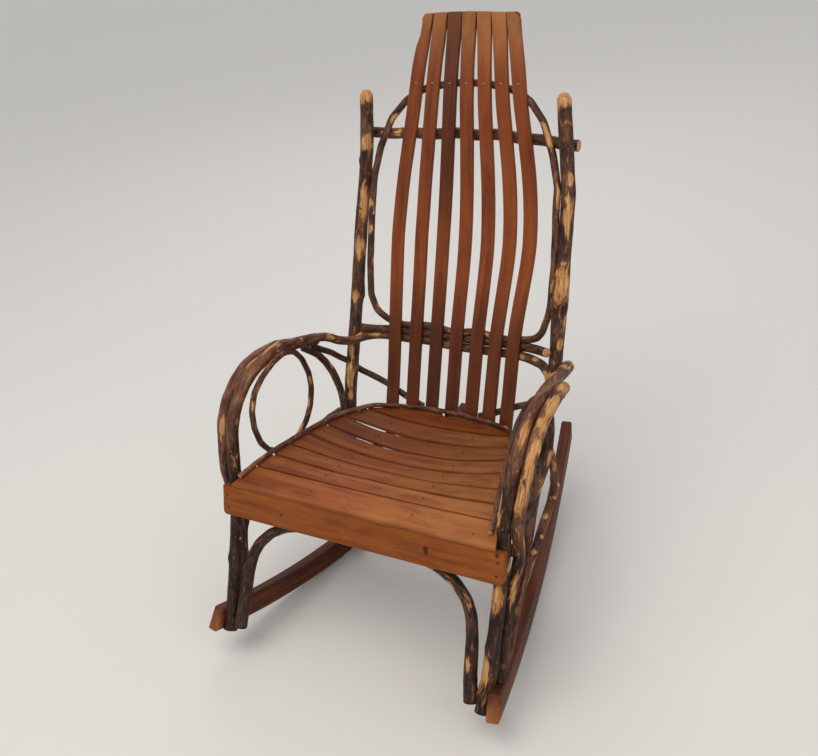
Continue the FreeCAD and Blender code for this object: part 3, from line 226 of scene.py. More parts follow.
# Oak, planed, stained brown and varnished: long straight grain, dark pores drawn coarser than
# the real 0.3 mm so that they show, and a dull gleam
def stained_oak(name, shades, paled_to, place="plank_place", gloss_from=0.38, marks=()):
    """Shades are the grain's dark, middle and light colours; a mark is a knot's place on the
    node and its width."""
    material, tree, seen = new_material(name, place, {
        "figure": (14, 240, 3.0, 0.5, 0.4), "lines": (1.6, 120, 4.0, 0.6, 0.0),
        "pores": (0.9, 12, 2.0, 0.5, 0.0), "clouds": (30, 70, 5.0, 0.6, 0.3)},
        IOR=VARNISH_IOR, Specular_IOR_Level=0.22)
    tone = carried(tree, "tone")
    rubbed = carried(tree, "rubbed")
    dark, middle, light = shades
    grain = ramp(tree, seen["figure"], (0.34, dark), (0.5, middle), (0.68, light))
    streak = ramp(tree, seen["lines"], (0.38, 0.22), (0.52, 0.0))
    lined = mix(tree, streak, grain, dark)
    pore = ramp(tree, seen["pores"], (0.3, 0.4), (0.42, 0.0))
    dashed = mix(tree, pore, lined, "#2E150A")
    cloud = ramp(tree, seen["clouds"], (0.4, 0.0), (0.64, 0.55))
    clouded = mix(tree, cloud, dashed, light)
    # Paled where the rubbed value is high: wear on slat tops and rockers' noses, painted light on
    # the seat's right
    worn = ramp(tree, seen["clouds"], (0.3, 0.35), (0.6, 1.0))
    rubbing_and_painted_shading = reckon(tree, "MULTIPLY", rubbed, worn)
    aged = mix(tree, rubbing_and_painted_shading, clouded, paled_to)
    # Darkened by the tone: the slats' own stain, with painted shade low on the back slats and the
    # seat's left
    colour = mix(tree, tone, aged, "#2C1009")
    here = add(tree, "TexCoord", out=3) if marks else None
    for spot, wide in marks:
        away = add(tree, "VectorMath", {"operation": "DISTANCE"}, 1, _0=here, _1=spot)
        near = add(tree, "MapRange", Value=away, From_Min=wide / 5, From_Max=wide / 2,
                   To_Min=0.85, To_Max=0.0)
        colour = mix(tree, near, colour, "#2A1007")
    gloss = reckon(tree, "MULTIPLY_ADD", seen["clouds"], 0.25, gloss_from)
    height = reckon(tree, "ADD", seen["lines"], seen["pores"])
    return dress(material, colour, gloss, height, 0.12)


# Steel wire nails: bright heads where the back is rubbed, brown and dull elsewhere
def nail_steel():
    material, tree, seen = new_material("nail_steel_dulled", None, {
        "rust": (1.5, 1.5, 3.0, 0.5, 0.0)}, Metallic=0.7)
    bright = carried(tree, "rubbed")
    dull = ramp(tree, seen["rust"], (0.35, "#2B1A12"), (0.65, "#5A4436"))
    clean = ramp(tree, seen["rust"], (0.35, "#A89C90"), (0.65, "#E6E0D8"))
    colour = mix(tree, bright, dull, clean)
    gloss = reckon(tree, "MULTIPLY_ADD", seen["rust"], 0.3, 0.3)
    return dress(material, colour, gloss, seen["rust"], 0.1)


BARK = hickory_bark()
END = hickory_end()
STEEL = nail_steel()

# Finding the middle line of a CAD stick or plank, by rays cast from inside it; lengths in metres

SKIN = 1e-5
WAYS = 400
GOLDEN_TURN = 2.39996
RAYS = 16
THICKEST_STICK = 0.04
ROUND_WITHIN = 0.0005
MARCH = 0.003
MOST_PLACES = 3000


def limit(value):
    """A value kept between 0 and 1."""
    return min(max(value, 0.0), 1.0)


def smooth(line, times):
    """Evens out the values along a line, its ends apart."""
    for attempt in range(times):
        line[1:-1] = line[:-2] / 4 + line[1:-1] / 2 + line[2:] / 4


def run_along(places):
    """How far along the line through them each place lies."""
    return np.r_[0, np.cumsum(np.linalg.norm(np.diff(places, axis=0), axis=1))]


def towards(way, aim):
    """A way or its opposite, whichever is nearer to the aim."""
    return way if way.dot(aim) > 0 else -way


def square_to(along, way):
    """A way turned until it is square to another one."""
    return (way - along * along.dot(way)).normalized()


def width_along(tree, centre, way):
    """How wide the solid is along a way through the centre, or 0 if a ray hits nothing."""
    ahead, behind = tree.ray_cast(centre, way)[3], tree.ray_cast(centre, -way)[3]
    return ahead + behind if ahead and behind else 0.0


def ways_round(along, count, arc=2 * math.pi):
    """So many directions across another one, evenly spread over an arc."""
    side = along.orthogonal().normalized()
    up = along.cross(side)
    return [side * math.cos(arc * n / count) + up * math.sin(arc * n / count)
            for n in range(count)]


def tube_faces(rings, size):
    """Faces between rings of so many points that follow one another."""
    return [(ring * size + n, ring * size + (n + 1) % size,
             (ring + 1) * size + (n + 1) % size, (ring + 1) * size + n)
            for ring in range(rings - 1) for n in range(size)]


def solid_tree(node_name):
    """A ray tree of a CAD node, and its points and faces."""
    shape = nodes[node_name]
    points = [shape.matrix_world @ vertex.co for vertex in shape.data.vertices]
    faces = [tuple(face.vertices) for face in shape.data.polygons]
    return BVHTree.FromPolygons(points, faces), points, faces


def inside_start(tree, points, faces):
    """A point inside the solid and the direction in which it is longest."""
    face = faces[len(faces) // 2]
    middle = sum((points[n] for n in face), Vector()) / len(face)
    corner = points[face[0]]
    normal = (points[face[1]] - corner).cross(points[face[2]] - corner).normalized()
    hit = tree.ray_cast(middle - normal * SKIN, -normal)
    centre = middle - normal * (hit[3] / 2)
    best, along = 0.0, Vector((0, 0, 1))
    for n in range(WAYS):
        high = 1 - (n + 0.5) / WAYS
        turn = n * GOLDEN_TURN
        flat = math.sqrt(1 - high * high)
        way = Vector((flat * math.cos(turn), flat * math.sin(turn), high))
        width = width_along(tree, centre, way)
        if width > best:
            best, along = width, way
    return centre, along


def ring_fit(tree, centre, along):
    """Centre and radius of the round section across a direction, flats left out."""
    side = along.orthogonal().normalized()
    up = along.cross(side)
    marks = []
    for n in range(RAYS):
        turn = 2 * math.pi * n / RAYS
        hit = tree.ray_cast(centre, side * math.cos(turn) + up * math.sin(turn))
        if hit[0] is not None and hit[3] < THICKEST_STICK:
            marks.append((hit[3] * math.cos(turn), hit[3] * math.sin(turn)))
    marks = np.array(marks)
    for attempt in range(4):
        rows = np.c_[2 * marks, np.ones(len(marks))]
        x, y, rest = np.linalg.lstsq(rows, (marks ** 2).sum(axis=1), rcond=None)[0]
        radius = math.sqrt(max(rest + x * x + y * y, 1e-8))
        off = np.abs(np.hypot(marks[:, 0] - x, marks[:, 1] - y) - radius)
        good = off < max(ROUND_WITHIN, float(np.median(off)) * 2.5)
        if good.all() or good.sum() < 7:
            break
        marks = marks[good]
    return centre + side * x + up * y, radius


def march(tree, centre, radius, along, step):
    """Centres and radii from step to step along a stick, as far as its end."""
    places = []
    while len(places) < MOST_PLACES:
        wall = tree.ray_cast(centre, along)
        if wall[0] is None or wall[3] < step * 1.2:
            places.append((centre + along * (wall[3] or 0.0), radius))
            break
        ahead, new_radius = ring_fit(tree, centre + along * step, along)
        if (ahead - centre).length > 2 * step or new_radius > 1.6 * radius:
            ahead, new_radius = centre + along * step, radius
        radius = radius + (new_radius - radius) * 0.5
        along = ((ahead - centre).normalized() * 2 + along).normalized()
        centre = ahead
        places.append((centre, radius))
    return places


def stick_line(node_name, gap):
    """Evenly spaced centres and radii along a round bent stick of the CAD model."""
    tree, points, faces = solid_tree(node_name)
    centre, along = inside_start(tree, points, faces)
    for attempt in range(4):
        centre, radius = ring_fit(tree, centre, along)
        ahead = ring_fit(tree, centre + along * MARCH, along)[0]
        behind = ring_fit(tree, centre - along * MARCH, along)[0]
        along = (ahead - behind).normalized()
    back = march(tree, centre, radius, -along, MARCH)
    line = list(reversed(back)) + [(centre, radius)] + march(tree, centre, radius, along, MARCH)
    if (line[0][0].z, line[0][0].x) > (line[-1][0].z, line[-1][0].x):
        line.reverse()
    places = np.array([list(place) for place, radius in line])
    radii = np.array([radius for place, radius in line])
    smooth(places, 6)
    smooth(radii, 6)
    runs = run_along(places)
    count = max(int(runs[-1] / gap), 6)
    wanted = np.linspace(0, runs[-1], count + 1)
    even = np.stack([np.interp(wanted, runs, places[:, axis]) for axis in range(3)], axis=1)
    return even, np.interp(wanted, runs, radii), wanted


def steady_frames(places):
    """Directions along the line, and side and up directions that don't twist."""
    along = np.gradient(places, axis=0)
    along = along / np.linalg.norm(along, axis=1)[:, None]
    side = Vector(along[0]).orthogonal().normalized()
    frames = []
    for way in along:
        way = Vector(way)
        side = square_to(way, side)
        frames.append((way, side, way.cross(side)))
    return frames


def tidy_normals(piece):
    """Turns every face outwards."""
    shape = bmesh.new()
    shape.from_mesh(piece.data)
    bmesh.ops.recalc_face_normals(shape, faces=shape.faces)
    shape.to_mesh(piece.data)
    shape.free()


def make_mesh(name, points, faces, materials, face_slots, facts):
    """A smooth-shaded piece with named values on its points, that rides on the chair."""
    mesh = bpy.data.meshes.new(name)
    mesh.from_pydata([tuple(p) for p in points], [], faces)
    for material in materials:
        mesh.materials.append(material)
    mesh.polygons.foreach_set("material_index", face_slots)
    mesh.polygons.foreach_set("use_smooth", [True] * len(faces))
    for fact, values in facts.items():
        kind = "FLOAT_VECTOR" if len(np.shape(values)) == 2 else "FLOAT"
        layer = mesh.attributes.new(fact, kind, "POINT")
        layer.data.foreach_set("vector" if kind == "FLOAT_VECTOR" else "value",
                               np.asarray(values, dtype=np.float32).ravel())
    mesh.update()
    piece = new_object(name, mesh)
    tidy_normals(piece)
    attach(piece, "root")
    return piece


# Saplings: bent, lumpy and knotted sticks, with bare wood where the bark has come away. The
# lengths, in metres, are between rings, of how far and how often the line strays and how near
# an end it stops, of a thickened foot and a domed end, of lumps and of the widest bare stub

STICK_STEP = 0.004
WANDER = 0.0007
WANDER_LENGTH = 0.11
WANDER_EASE = 0.03
FOOT_LENGTH = 0.22
DOME_LENGTH = 0.007
DOME_TOP = 0.72
LUMP = 0.05
DIMPLE = 0.014
SMALL_TWIG = 0.012
# Rings that close an end: their share of its width, and their rise as a share of its radius
END_STEPS = ((0.92, 0.05), (0.7, 0.09), (0.35, 0.12), (0.0, 0.13))
DOME_RISE = 3.2


def seen_spot(places, radii, across, down):
    """The point of a stick's surface that faces the camera nearest to a point of the picture."""
    way = np.array(sight(across, down))
    away = places - np.array(EYE)
    n = int(np.argmin(np.linalg.norm(away - np.outer(away @ way, way), axis=1)))
    centre = Vector(places[n])
    aside = EYE + Vector(way) * float(away[n] @ way) - centre
    reach = min(aside.length, radii[n] * 0.95)
    return centre + aside.normalized() * reach - Vector(way) * math.sqrt(radii[n] ** 2 - reach ** 2)


def trim_ends(places, radii, runs, start, end):
    """Cuts so many millimetres off a stick's start and end, or adds them where they are below 0."""
    for cut, first, second in ((-start, 0, 1), (-end, -1, -2)):
        if cut > 0:
            way = places[first] - places[second]
            extra = places[first] + way / np.linalg.norm(way) * cut / 1000
            at = 0 if first == 0 else len(places)
            places = np.insert(places, at, extra, axis=0)
            radii = np.insert(radii, at, radii[first])
    runs = run_along(places)
    keep = (runs >= max(start, 0) / 1000) & (runs <= runs[-1] - max(end, 0) / 1000)
    return places[keep], radii[keep], runs[keep] - runs[keep][0]


def pick_knots(luck, length, knots):
    """Side twigs' knots: run, turn, width, height, and whether the twig was cut to the wood."""
    return [(luck.uniform(0.02, length - 0.02), luck.uniform(0, 2 * math.pi),
             luck.uniform(0.6, 1.1), luck.uniform(0.1, 0.28), luck.random() < 0.35)
            for count in range(int(knots * length + luck.random()))]


def sway_line(places, radii, sways):
    """Bends a stick's middle line where the picture shows that it bends."""
    moves = np.zeros_like(places)
    for across, down, right_by, up_by, half_long in sways:
        spot = seen_spot(places, radii, across, down)
        near = np.exp(-(np.linalg.norm(places - np.array(spot), axis=1) * 1000 / half_long) ** 2)
        moves += near[:, None] * np.array(RIGHT * right_by - DOWN * up_by) / 1000
    return places + moves


def wander(places, runs, offset):
    """Lets a stick's middle line stray a little, but not at its ends."""
    shifts = np.array([[noise.noise(offset + Vector((axis * 7.3, run / WANDER_LENGTH, 0)))
                        for axis in range(3)] for run in runs])
    ease = np.clip(np.minimum(runs, runs[-1] - runs) / WANDER_EASE, 0, 1)[:, None]
    return places + shifts * WANDER * ease


def domed(radius, away):
    """The radius so far from the tip of a rounded end."""
    if away >= DOME_LENGTH:
        return radius
    rounding = math.sqrt(max(1 - (1 - away / DOME_LENGTH) ** 2, 0.0))
    return radius * (DOME_TOP + (1 - DOME_TOP) * rounding)


def knot_swell(knots, run, turn, radius):
    """How far the knots swell a point of a stick, and how bare a cut one leaves it."""
    swell, bared = 0.0, 0.0
    for knot_run, knot_turn, wide, high, cut in knots:
        arc = (turn - knot_turn + math.pi) % (2 * math.pi) - math.pi
        far = math.hypot((run - knot_run) / (radius * 1.1), arc) / wide
        if far < 2.5:
            swell += high * math.exp(-far * far * 1.6)
            bared = max(bared, 1.1 - far * 1.3) if cut else bared
    return swell, bared


def patch_bare(patches, point, way):
    """How bare the patches that the picture shows leave a point of a stick."""
    bared = 0.0
    for spot, half_long, half_wide in patches:
        away = point - spot
        long = away.dot(way)
        far = math.hypot(long / half_long, (away - way * long).length / half_wide)
        bared = max(bared, 1.15 - far * 0.6)
    return bared


def raise_twigs(twigs, point, out):
    """Lifts a point over the twigs' stubs that the picture shows, small ones bare of bark."""
    bared = 0.0
    for spot, wide, high in twigs:
        far = (point - spot).length / wide
        if far < 2.2:
            point = point + out * high * math.exp(-far * far * 1.3)
            bared = bared if wide > SMALL_TWIG else max(bared, 1.3 - far * 0.9)
    return point, bared


def close_end(stick, first, sides, centre, rise, end, flecks, offset):
    """Closes a stick at the ring that starts with the first point."""
    slot = 0 if end == "dark" else 1
    full = DOME_RISE if end == "domed" else 1.0
    before = list(range(first, first + sides))
    for share, height in END_STEPS:
        fresh = []
        for n in range(sides if share else 1):
            fresh.append(len(stick["points"]))
            stick["points"].append(centre + (stick["points"][first + n] - centre) * share
                                   + rise * height * full)
            stick["places"].append((stick["places"][first + n] - offset) * share + offset)
            stick["bare"].append(flecks if end == "dark" else 1.0)
        for n in range(sides):
            after = (n + 1) % sides
            stick["faces"].append((before[n], before[after], fresh[after], fresh[n]) if share
                                  else (before[n], before[after], fresh[0]))
            stick["slots"].append(slot)
        before = fresh


def add_stick(node_name, sides=20, knots=4.0, lumps=0.045, worn=0.0, flecks=0.24,
              ends=("sawn", "sawn"), trim=(0, 0), peel=(0, 0), worn_above=None, dirt_and_painted_shade=0.0,
              feet=(0.0, 0.0)):
    """A bark-on sapling that takes the place of a CAD stick.

    Ends are sawn, domed or dark; trim and peel are millimetres at each end. Above a height
    the stick is worn, and below it darkened as painted shade. Feet are how much thicker its
    ends grow."""
    places, radii, runs = trim_ends(*stick_line(node_name, STICK_STEP), *trim)
    places = sway_line(places, radii, SWAYS.get(node_name, ()))
    for foot, away in zip(feet, (runs, runs[-1] - runs)):
        radii = radii * (1 + foot * np.clip(1 - away / FOOT_LENGTH, 0, 1))
    luck = random.Random(node_name)
    offset = Vector([luck.uniform(0, 9) for axis in range(3)])
    places = wander(places, runs, offset)
    frames = steady_frames(places)
    knots = pick_knots(luck, runs[-1], knots)
    patches = [(seen_spot(places, radii, across, down), half_long / 1000, half_wide / 1000)
               for across, down, half_long, half_wide in PATCHES.get(node_name, ())]
    twigs = [(seen_spot(places, radii, across, down), wide / 2000, high / 1000)
             for across, down, wide, high in TWIGS.get(node_name, ())]
    stick = {"points": [], "places": [], "bare": [], "faces": tube_faces(len(places), sides)}
    for (way, side, up), place, radius, run in zip(frames, places, radii, runs):
        from_ends = (run, runs[-1] - run)
        for end, away in zip(ends, from_ends):
            radius = domed(radius, away) if end == "domed" else radius
        for n in range(sides):
            turn = 2 * math.pi * n / sides
            out = side * math.cos(turn) + up * math.sin(turn)
            own = Vector((radius * math.cos(turn), radius * math.sin(turn), run))
            swell, bared = knot_swell(knots, run, turn, radius)
            swell += lumps * (noise.noise(own / LUMP + offset)
                              + noise.noise(own / DIMPLE + offset * 2) / 2)
            point = Vector(place) + out * radius * (1 + swell)
            bared = max(bared, patch_bare(patches, point, way))
            point, stub_bared = raise_twigs(twigs, point, out)
            bared = max(bared, stub_bared)
            for peeled, away in zip(peel, from_ends):
                bared = max(bared, 1.3 - 0.8 * away * 1000 / peeled) if peeled else bared
            low = 0.0 if worn_above is None else limit((worn_above - point.z) / 0.1)
            stick["points"].append(point)
            stick["places"].append(own + offset)
            stick["bare"].append(min(max(bared, flecks - 0.14 * low), 1.0))
    stick["slots"] = [0] * len(stick["faces"])
    for end, ring, outwards in ((ends[0], 0, -1), (ends[1], len(places) - 1, 1)):
        close_end(stick, ring * sides, sides, Vector(places[ring]),
                  frames[ring][0] * outwards * radii[ring], end, flecks, offset)
    # Worn above the height; below it the value turns negative: painted shade on the bark
    rubbing_and_painted_shading = [worn if worn_above is None else
            -dirt_and_painted_shade + (worn + dirt_and_painted_shade) * limit((point.z - worn_above) / 0.15)
            for point in stick["points"]]
    piece = make_mesh("bark_" + node_name, stick["points"], stick["faces"], [BARK, END],
                      stick["slots"], {"stick_place": [tuple(place) for place in stick["places"]],
                                       "bare": stick["bare"], "worn": rubbing_and_painted_shading})
    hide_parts(node_name)


# Planks: slats, seat slats and rockers, with softened edges and grain that follows the bend

PLANK_STEP = 0.006
CORNER_POINTS = 4
EDGE_WANDER = 0.09
# Rings that round an end, from its tip: their inset and way back as shares of the rounding,
# and how far on their place in the grain is, in metres
ROUNDED_END = ((0.7, 0.0, 0.01), (0.2, 0.3, 0.009), (0.0, 1.0, 0.008))


def flat_fit(tree, centre, along, thin):
    """Centre, directions and half sizes of the flat section across a direction."""
    thin = square_to(along, thin)
    for attempt in range(2):
        front, back = tree.ray_cast(centre, thin), tree.ray_cast(centre, -thin)
        if front[0] is None or back[0] is None:
            return None
        thin = square_to(along, towards(front[1], thin) + towards(back[1], thin))
        centre = (front[0] + back[0]) / 2
    half_thick = (front[0] - back[0]).length / 2
    wide = along.cross(thin).normalized()
    one, other = tree.ray_cast(centre, wide), tree.ray_cast(centre, -wide)
    if one[0] is None or other[0] is None:
        return None
    return (one[0] + other[0]) / 2, thin, wide, half_thick, (one[0] - other[0]).length / 2


def plank_line(node_name, step):
    """Sections along a plank of the CAD model, from end to end."""
    tree, points, faces = solid_tree(node_name)
    centre, along = inside_start(tree, points, faces)
    thin, least = None, math.inf
    for way in ways_round(along, 72, math.pi):
        width = width_along(tree, centre, way)
        if 0 < width < least:
            least, thin = width, way
    sections = []
    for sign in (-1, 1):
        here = flat_fit(tree, centre, along * sign, thin)
        way = along * sign
        run = [here]
        while len(run) < MOST_PLACES:
            place, facing, wide, half_thick, half_wide = run[-1]
            clear = min(tree.ray_cast(place + wide * half_wide * share, way)[3] or 0.0
                        for share in (-0.85, 0.0, 0.85))
            if clear < step * 1.3:
                break
            fresh = flat_fit(tree, place + way * step, way, facing)
            if fresh is None:
                break
            way = ((fresh[0] - place).normalized() + way).normalized()
            run.append(fresh)
        sections.append((run, way))
    (back, back_way), (ahead, ahead_way) = sections
    turned = [(place, facing, -wide, half_thick, half_wide)
              for place, facing, wide, half_thick, half_wide in back[:0:-1]]
    return turned + ahead, back_way, ahead_way, tree


def plank_ring(section, edge, cut, across):
    """Points round a plank's section, its corners rounded, with their places across it."""
    centre, thin, wide, half_thick, half_wide = section
    loop = []
    corners = [(1, 1), (-1, 1), (-1, -1), (1, -1)]
    for quarter, (sx, sy) in enumerate(corners):
        for bend in range(CORNER_POINTS):
            turn = math.pi / 2 * (quarter + bend / (CORNER_POINTS - 1))
            loop.append((sx * (half_wide - edge) + (edge - cut) * math.cos(turn),
                         sy * (half_thick - edge) + (edge - cut) * math.sin(turn)))
        if quarter % 2 == 0:
            for n in range(1, across):
                loop.append((sx * half_wide * (1 - 2 * n / across), sy * (half_thick - cut)))
    return [(centre + wide * x + thin * y, x, y) for x, y in loop]


def plank_sections(node_name, narrow, wobble, offset):
    """Sections along a plank with its edges narrowed and unsteady, how far along they lie, the
    ways out of its ends, and its ray tree."""
    sections, back_way, ahead_way, tree = plank_line(node_name, PLANK_STEP)
    sizes = np.array([section[3:] for section in sections])
    places = np.array([list(section[0]) for section in sections])
    smooth(sizes, 4)
    smooth(places, 4)
    runs = run_along(places)
    middle = sections[len(sections) // 2]
    eased = []
    for run, place, (half_thick, half_wide), section in zip(runs, places, sizes, sections):
        thin, wide = map(towards, section[1:3], middle[1:3])
        one = noise.noise(offset + Vector((run / EDGE_WANDER, 0, 0))) * wobble
        other = noise.noise(offset + Vector((0, run / EDGE_WANDER, 3))) * wobble
        eased.append((Vector(place) + wide * (one - other) / 2, thin, wide, half_thick,
                      half_wide - narrow + (one + other) / 2))
    return eased, runs, back_way, ahead_way, tree


def plank_end(section, way, run, sign, edge, across, tree):
    """Rings that round an end off, as far out as the CAD plank goes."""
    reach = []
    for point, x, y in plank_ring(section, edge, 0.0, across):
        hit = tree.ray_cast(section[0] + (point - section[0]) * 0.93, way)
        reach.append(hit[3] if hit[0] is not None else PLANK_STEP / 2)
    rings = []
    for inset, back, on in ROUNDED_END:
        ring = plank_ring(section, edge, inset * edge, across)
        rings.append([(point + way * max(far - back * edge, 0.0), x, y, run + sign * on)
                      for (point, x, y), far in zip(ring, reach)])
    return rings[::-sign]


def add_plank(node_name, material, edge=1.5, tone=lambda point: 0.0, narrow=0.0,
              wobble=0.0003, rubbed=lambda point: 0.0, across=5, reshape=None):
    """A plank with edges rounded by so many millimetres that takes the place of a CAD one.

    Each side is narrowed by so many metres and wanders by the wobble. Tone tells how dark a
    point is, painted shade included, and rubbed how far it is paled, by wear and on the seat
    as painted light. Reshape moves the points."""
    luck = random.Random(node_name)
    offset = Vector([luck.uniform(0, 5) for axis in range(3)])
    sections, runs, back_way, ahead_way, tree = plank_sections(node_name, narrow, wobble, offset)
    edge = edge / 1000
    body = [[(point, x, y, run) for point, x, y in plank_ring(section, edge, 0.0, across)]
            for section, run in zip(sections, runs)]
    rings = (plank_end(sections[0], back_way, runs[0], -1, edge, across, tree) + body
             + plank_end(sections[-1], ahead_way, runs[-1], 1, edge, across, tree))
    points = [point for ring in rings for point, x, y, run in ring]
    places = [Vector((x, y, run)) + offset for ring in rings for point, x, y, run in ring]
    size = len(rings[0])
    faces = tube_faces(len(rings), size)
    points = reshape(points) if reshape else points
    for first in (0, (len(rings) - 1) * size):
        tip = len(points)
        points.append(sum(points[first:first + size], Vector()) / size)
        places.append((places[first] + places[first + size // 2]) / 2)
        faces += [(first + n, first + (n + 1) % size, tip) for n in range(size)]
    piece = make_mesh("plank_" + node_name, points, faces, [material], [0] * len(faces),
                      {"plank_place": [tuple(place) for place in places],
                       "rubbed": [rubbed(point) for point in points],
                       "tone": [tone(point) for point in points]})
    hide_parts(node_name)


def seen_on(node_name, across, down):
    """The place on a CAD node that a point of the picture shows, and the way that it faces."""
    place, facing = solid_tree(node_name)[0].ray_cast(EYE, sight(across, down))[:2]
    return place, towards(facing, EYE - place)


def mark_on(node_name, across, down):
    """The same place in the node's own space."""
    return tuple(nodes[node_name].matrix_world.inverted() @ seen_on(node_name, across, down)[0])


def ease_edges(node_name, material, width):
    """Keeps a CAD node's shape, softens its edges and gives it its wood."""
    shape = nodes[node_name]
    weld = shape.modifiers.new("weld", "WELD")
    weld.merge_threshold = 0.00005
    soften = shape.modifiers.new("soften", "BEVEL")
    soften.width = width / 1000
    soften.segments = 3
    soften.limit_method = "ANGLE"
    soften.angle_limit = math.radians(40)
    soften.harden_normals = False
    shape.data.materials.clear()
    shape.data.materials.append(material)


# Nail heads


def heads_of(node_name):
    """Centre of each nail head of a CAD node, and the way that it faces."""
    shape = bmesh.new()
    shape.from_mesh(nodes[node_name].data)
    bmesh.ops.remove_doubles(shape, verts=shape.verts, dist=SKIN)
    shape.verts.index_update()
    reached, heads = set(), []
    for start in shape.verts:
        if start in reached:
            continue
        reached.add(start)
        head = [start]
        for vertex in head:
            fresh = {link.other_vert(vertex) for link in vertex.link_edges} - reached
            reached |= fresh
            head += sorted(fresh, key=lambda other: other.index)
        spots = np.array([nodes[node_name].matrix_world @ vertex.co for vertex in head])
        centre = Vector(spots.mean(axis=0))
        facing = Vector(np.linalg.svd(spots - spots.mean(axis=0))[2][2])
        heads.append((centre, towards(facing, EYE - centre)))
    shape.free()
    return heads


NAIL_SIDES = 10
# Rings of a nail's head: share of its radius, and height over the wood in metres
NAIL_RINGS = ((1.0, -0.0012), (1.0, 0.0), (0.75, 0.0004), (0.4, 0.0006))
NAIL_TOP = 0.0007


def add_nails(name, heads, replaced, radius, bright=lambda place: 0.0):
    """Low domed nail heads; bright tells how shiny one at a place is."""
    points, faces, shine = [], [], []
    for centre, facing in heads:
        first = len(points)
        points += [centre + out * radius * share + facing * rise for share, rise in NAIL_RINGS
                   for out in ways_round(facing, NAIL_SIDES)]
        under, top = len(points), len(points) + 1
        points += [centre + facing * NAIL_RINGS[0][1], centre + facing * NAIL_TOP]
        faces += [tuple(first + corner for corner in face)
                  for face in tube_faces(len(NAIL_RINGS), NAIL_SIDES)]
        last = under - NAIL_SIDES
        for n in range(NAIL_SIDES):
            after = (n + 1) % NAIL_SIDES
            faces.append((first + after, first + n, under))
            faces.append((last + n, last + after, top))
        shine += [bright(centre)] * (top + 1 - first)
    piece = make_mesh(name, points, faces, [STEEL], [0] * len(faces), {"rubbed": shine})
    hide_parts(replaced)


# Saplings: where each one's bark has come away, where it bends and where twigs grew, each
# (across, down) in the picture. Then, in millimetres, a patch of bare wood has its half length
# and half width, a sway how far the stick bends to the right and up and its half length, and a
# twig's stub its width and height

PATCHES = {
    "back_post_left": [
        (366.8, 143, 20, 12), (364, 207, 32, 9), (359.6, 250, 24, 11), (356, 296, 14, 6),
        (351.5, 348, 20, 7), (350, 375, 24, 8), (350, 395, 10, 6)],
    "back_post_right": [
        (568.6, 214, 34, 9), (563, 286, 40, 14), (574, 321, 14, 6), (571, 180, 12, 5),
        (560, 345, 10, 6)],
    "back_hoop": [
        (370, 203, 10, 5), (370, 228, 16, 5), (393.6, 118, 14, 5), (374, 260, 8, 4),
        (547, 136, 26, 6), (558.6, 200, 22, 5), (554, 286, 36, 6), (541, 318, 16, 5),
        (378, 305, 8, 4)],
    "back_cross_rail": [(550.7, 141, 9, 7), (385, 133, 10, 5), (398, 134, 10, 5)],
    "back_bow_arm_to_arm": [
        (364.7, 332, 22, 7), (376, 333.5, 10, 6), (329, 337, 14, 6), (521, 357, 14, 6),
        (546.4, 378, 24, 8), (535.5, 360, 10, 5)],
    "front_leg_arm_bow_left": [(272, 341, 22, 8), (243, 356, 16, 7)],
    "outer_arm_bow_left": [(222, 427.6, 26, 6)],
    "arm_hoop_left": [
        (253, 372, 16, 4), (310, 380, 14, 4), (309, 402, 12, 4), (253, 407, 12, 4),
        (300, 428, 12, 4), (263, 451, 8, 4)],
    "arm_hoop_right": [(550, 458, 14, 4), (560, 500, 12, 4)],
    "arm_brace_left": [(331, 365, 12, 4)],
    "outer_arm_bow_right": [
        (562, 390, 26, 13), (552, 407, 44, 13), (543, 425, 30, 10), (531.8, 458, 46, 10),
        (520, 500, 36, 10), (514, 587, 36, 4), (528, 544, 20, 6)],
    "front_leg_arm_bow_right": [
        (522.7, 436, 30, 7), (550, 376, 26, 10), (499, 512, 30, 6), (563, 369, 18, 10),
        (496, 597, 26, 12), (483, 673, 38, 10), (509, 568, 20, 5)],
    "front_arch": [(448.6, 585, 12, 4), (467.6, 663, 14, 4), (469, 608, 8, 3)],
    "side_brace_right": [(550.6, 450, 10, 7)],
}
SWAYS = {
    "back_cross_rail": [
        (372, 137, 0, 5, 50), (412, 138, 0, 8, 50), (453, 139, 0, 13, 50), (495, 140, 0, 14, 50),
        (537, 141, 0, 8, 50)],
    "front_leg_arm_bow_right": [(500, 522, -6, 0, 50)],
    "outer_arm_bow_right": [(517, 525, -5, 0, 60)],
    "front_leg_arm_bow_left": [(283, 343, 0, 3, 50)],
    "outer_arm_bow_left": [(292, 340, 0, -4, 45)],
    "arm_hoop_left": [(293, 356, 0, 10, 55), (256, 400, -4, 0, 50)],
    "back_bow_arm_to_arm": [(330, 337, 0, 7, 45), (375, 336, 0, 7, 45), (425, 340, 0, 4, 45)],
    "back_bow_upper": [(375, 328, 0, -5, 50)],
    "back_hoop": [
        (400, 325, 0, -6, 50), (450, 332, 0, -7, 50), (500, 338, 0, -7, 50), (530, 336, 8, -5, 40),
        (543, 305, 10, 0, 45), (550, 270, 9, 0, 45), (553, 238, 4, 0, 40)],
}
TWIGS = {
    "front_leg_arm_bow_left": [(281, 341, 44, 3.5), (240, 362, 60, 2)],
    "back_post_left": [(359, 252, 12, 2.2)],
    "back_post_right": [(557, 300, 120, 3)],
    "back_bow_arm_to_arm": [(301.5, 340, 10, 2.0), (365, 331, 8, 1.2)],
    "back_bow_upper": [(536, 350, 9, 2.0)],
    "side_brace_right": [
        (557.5, 485, 12, 3), (553.8, 498.8, 12, 3), (545, 517.5, 14, 3.5), (541, 537.5, 12, 3),
        (534, 552.5, 12, 3), (526.3, 547.5, 10, 2)],
}
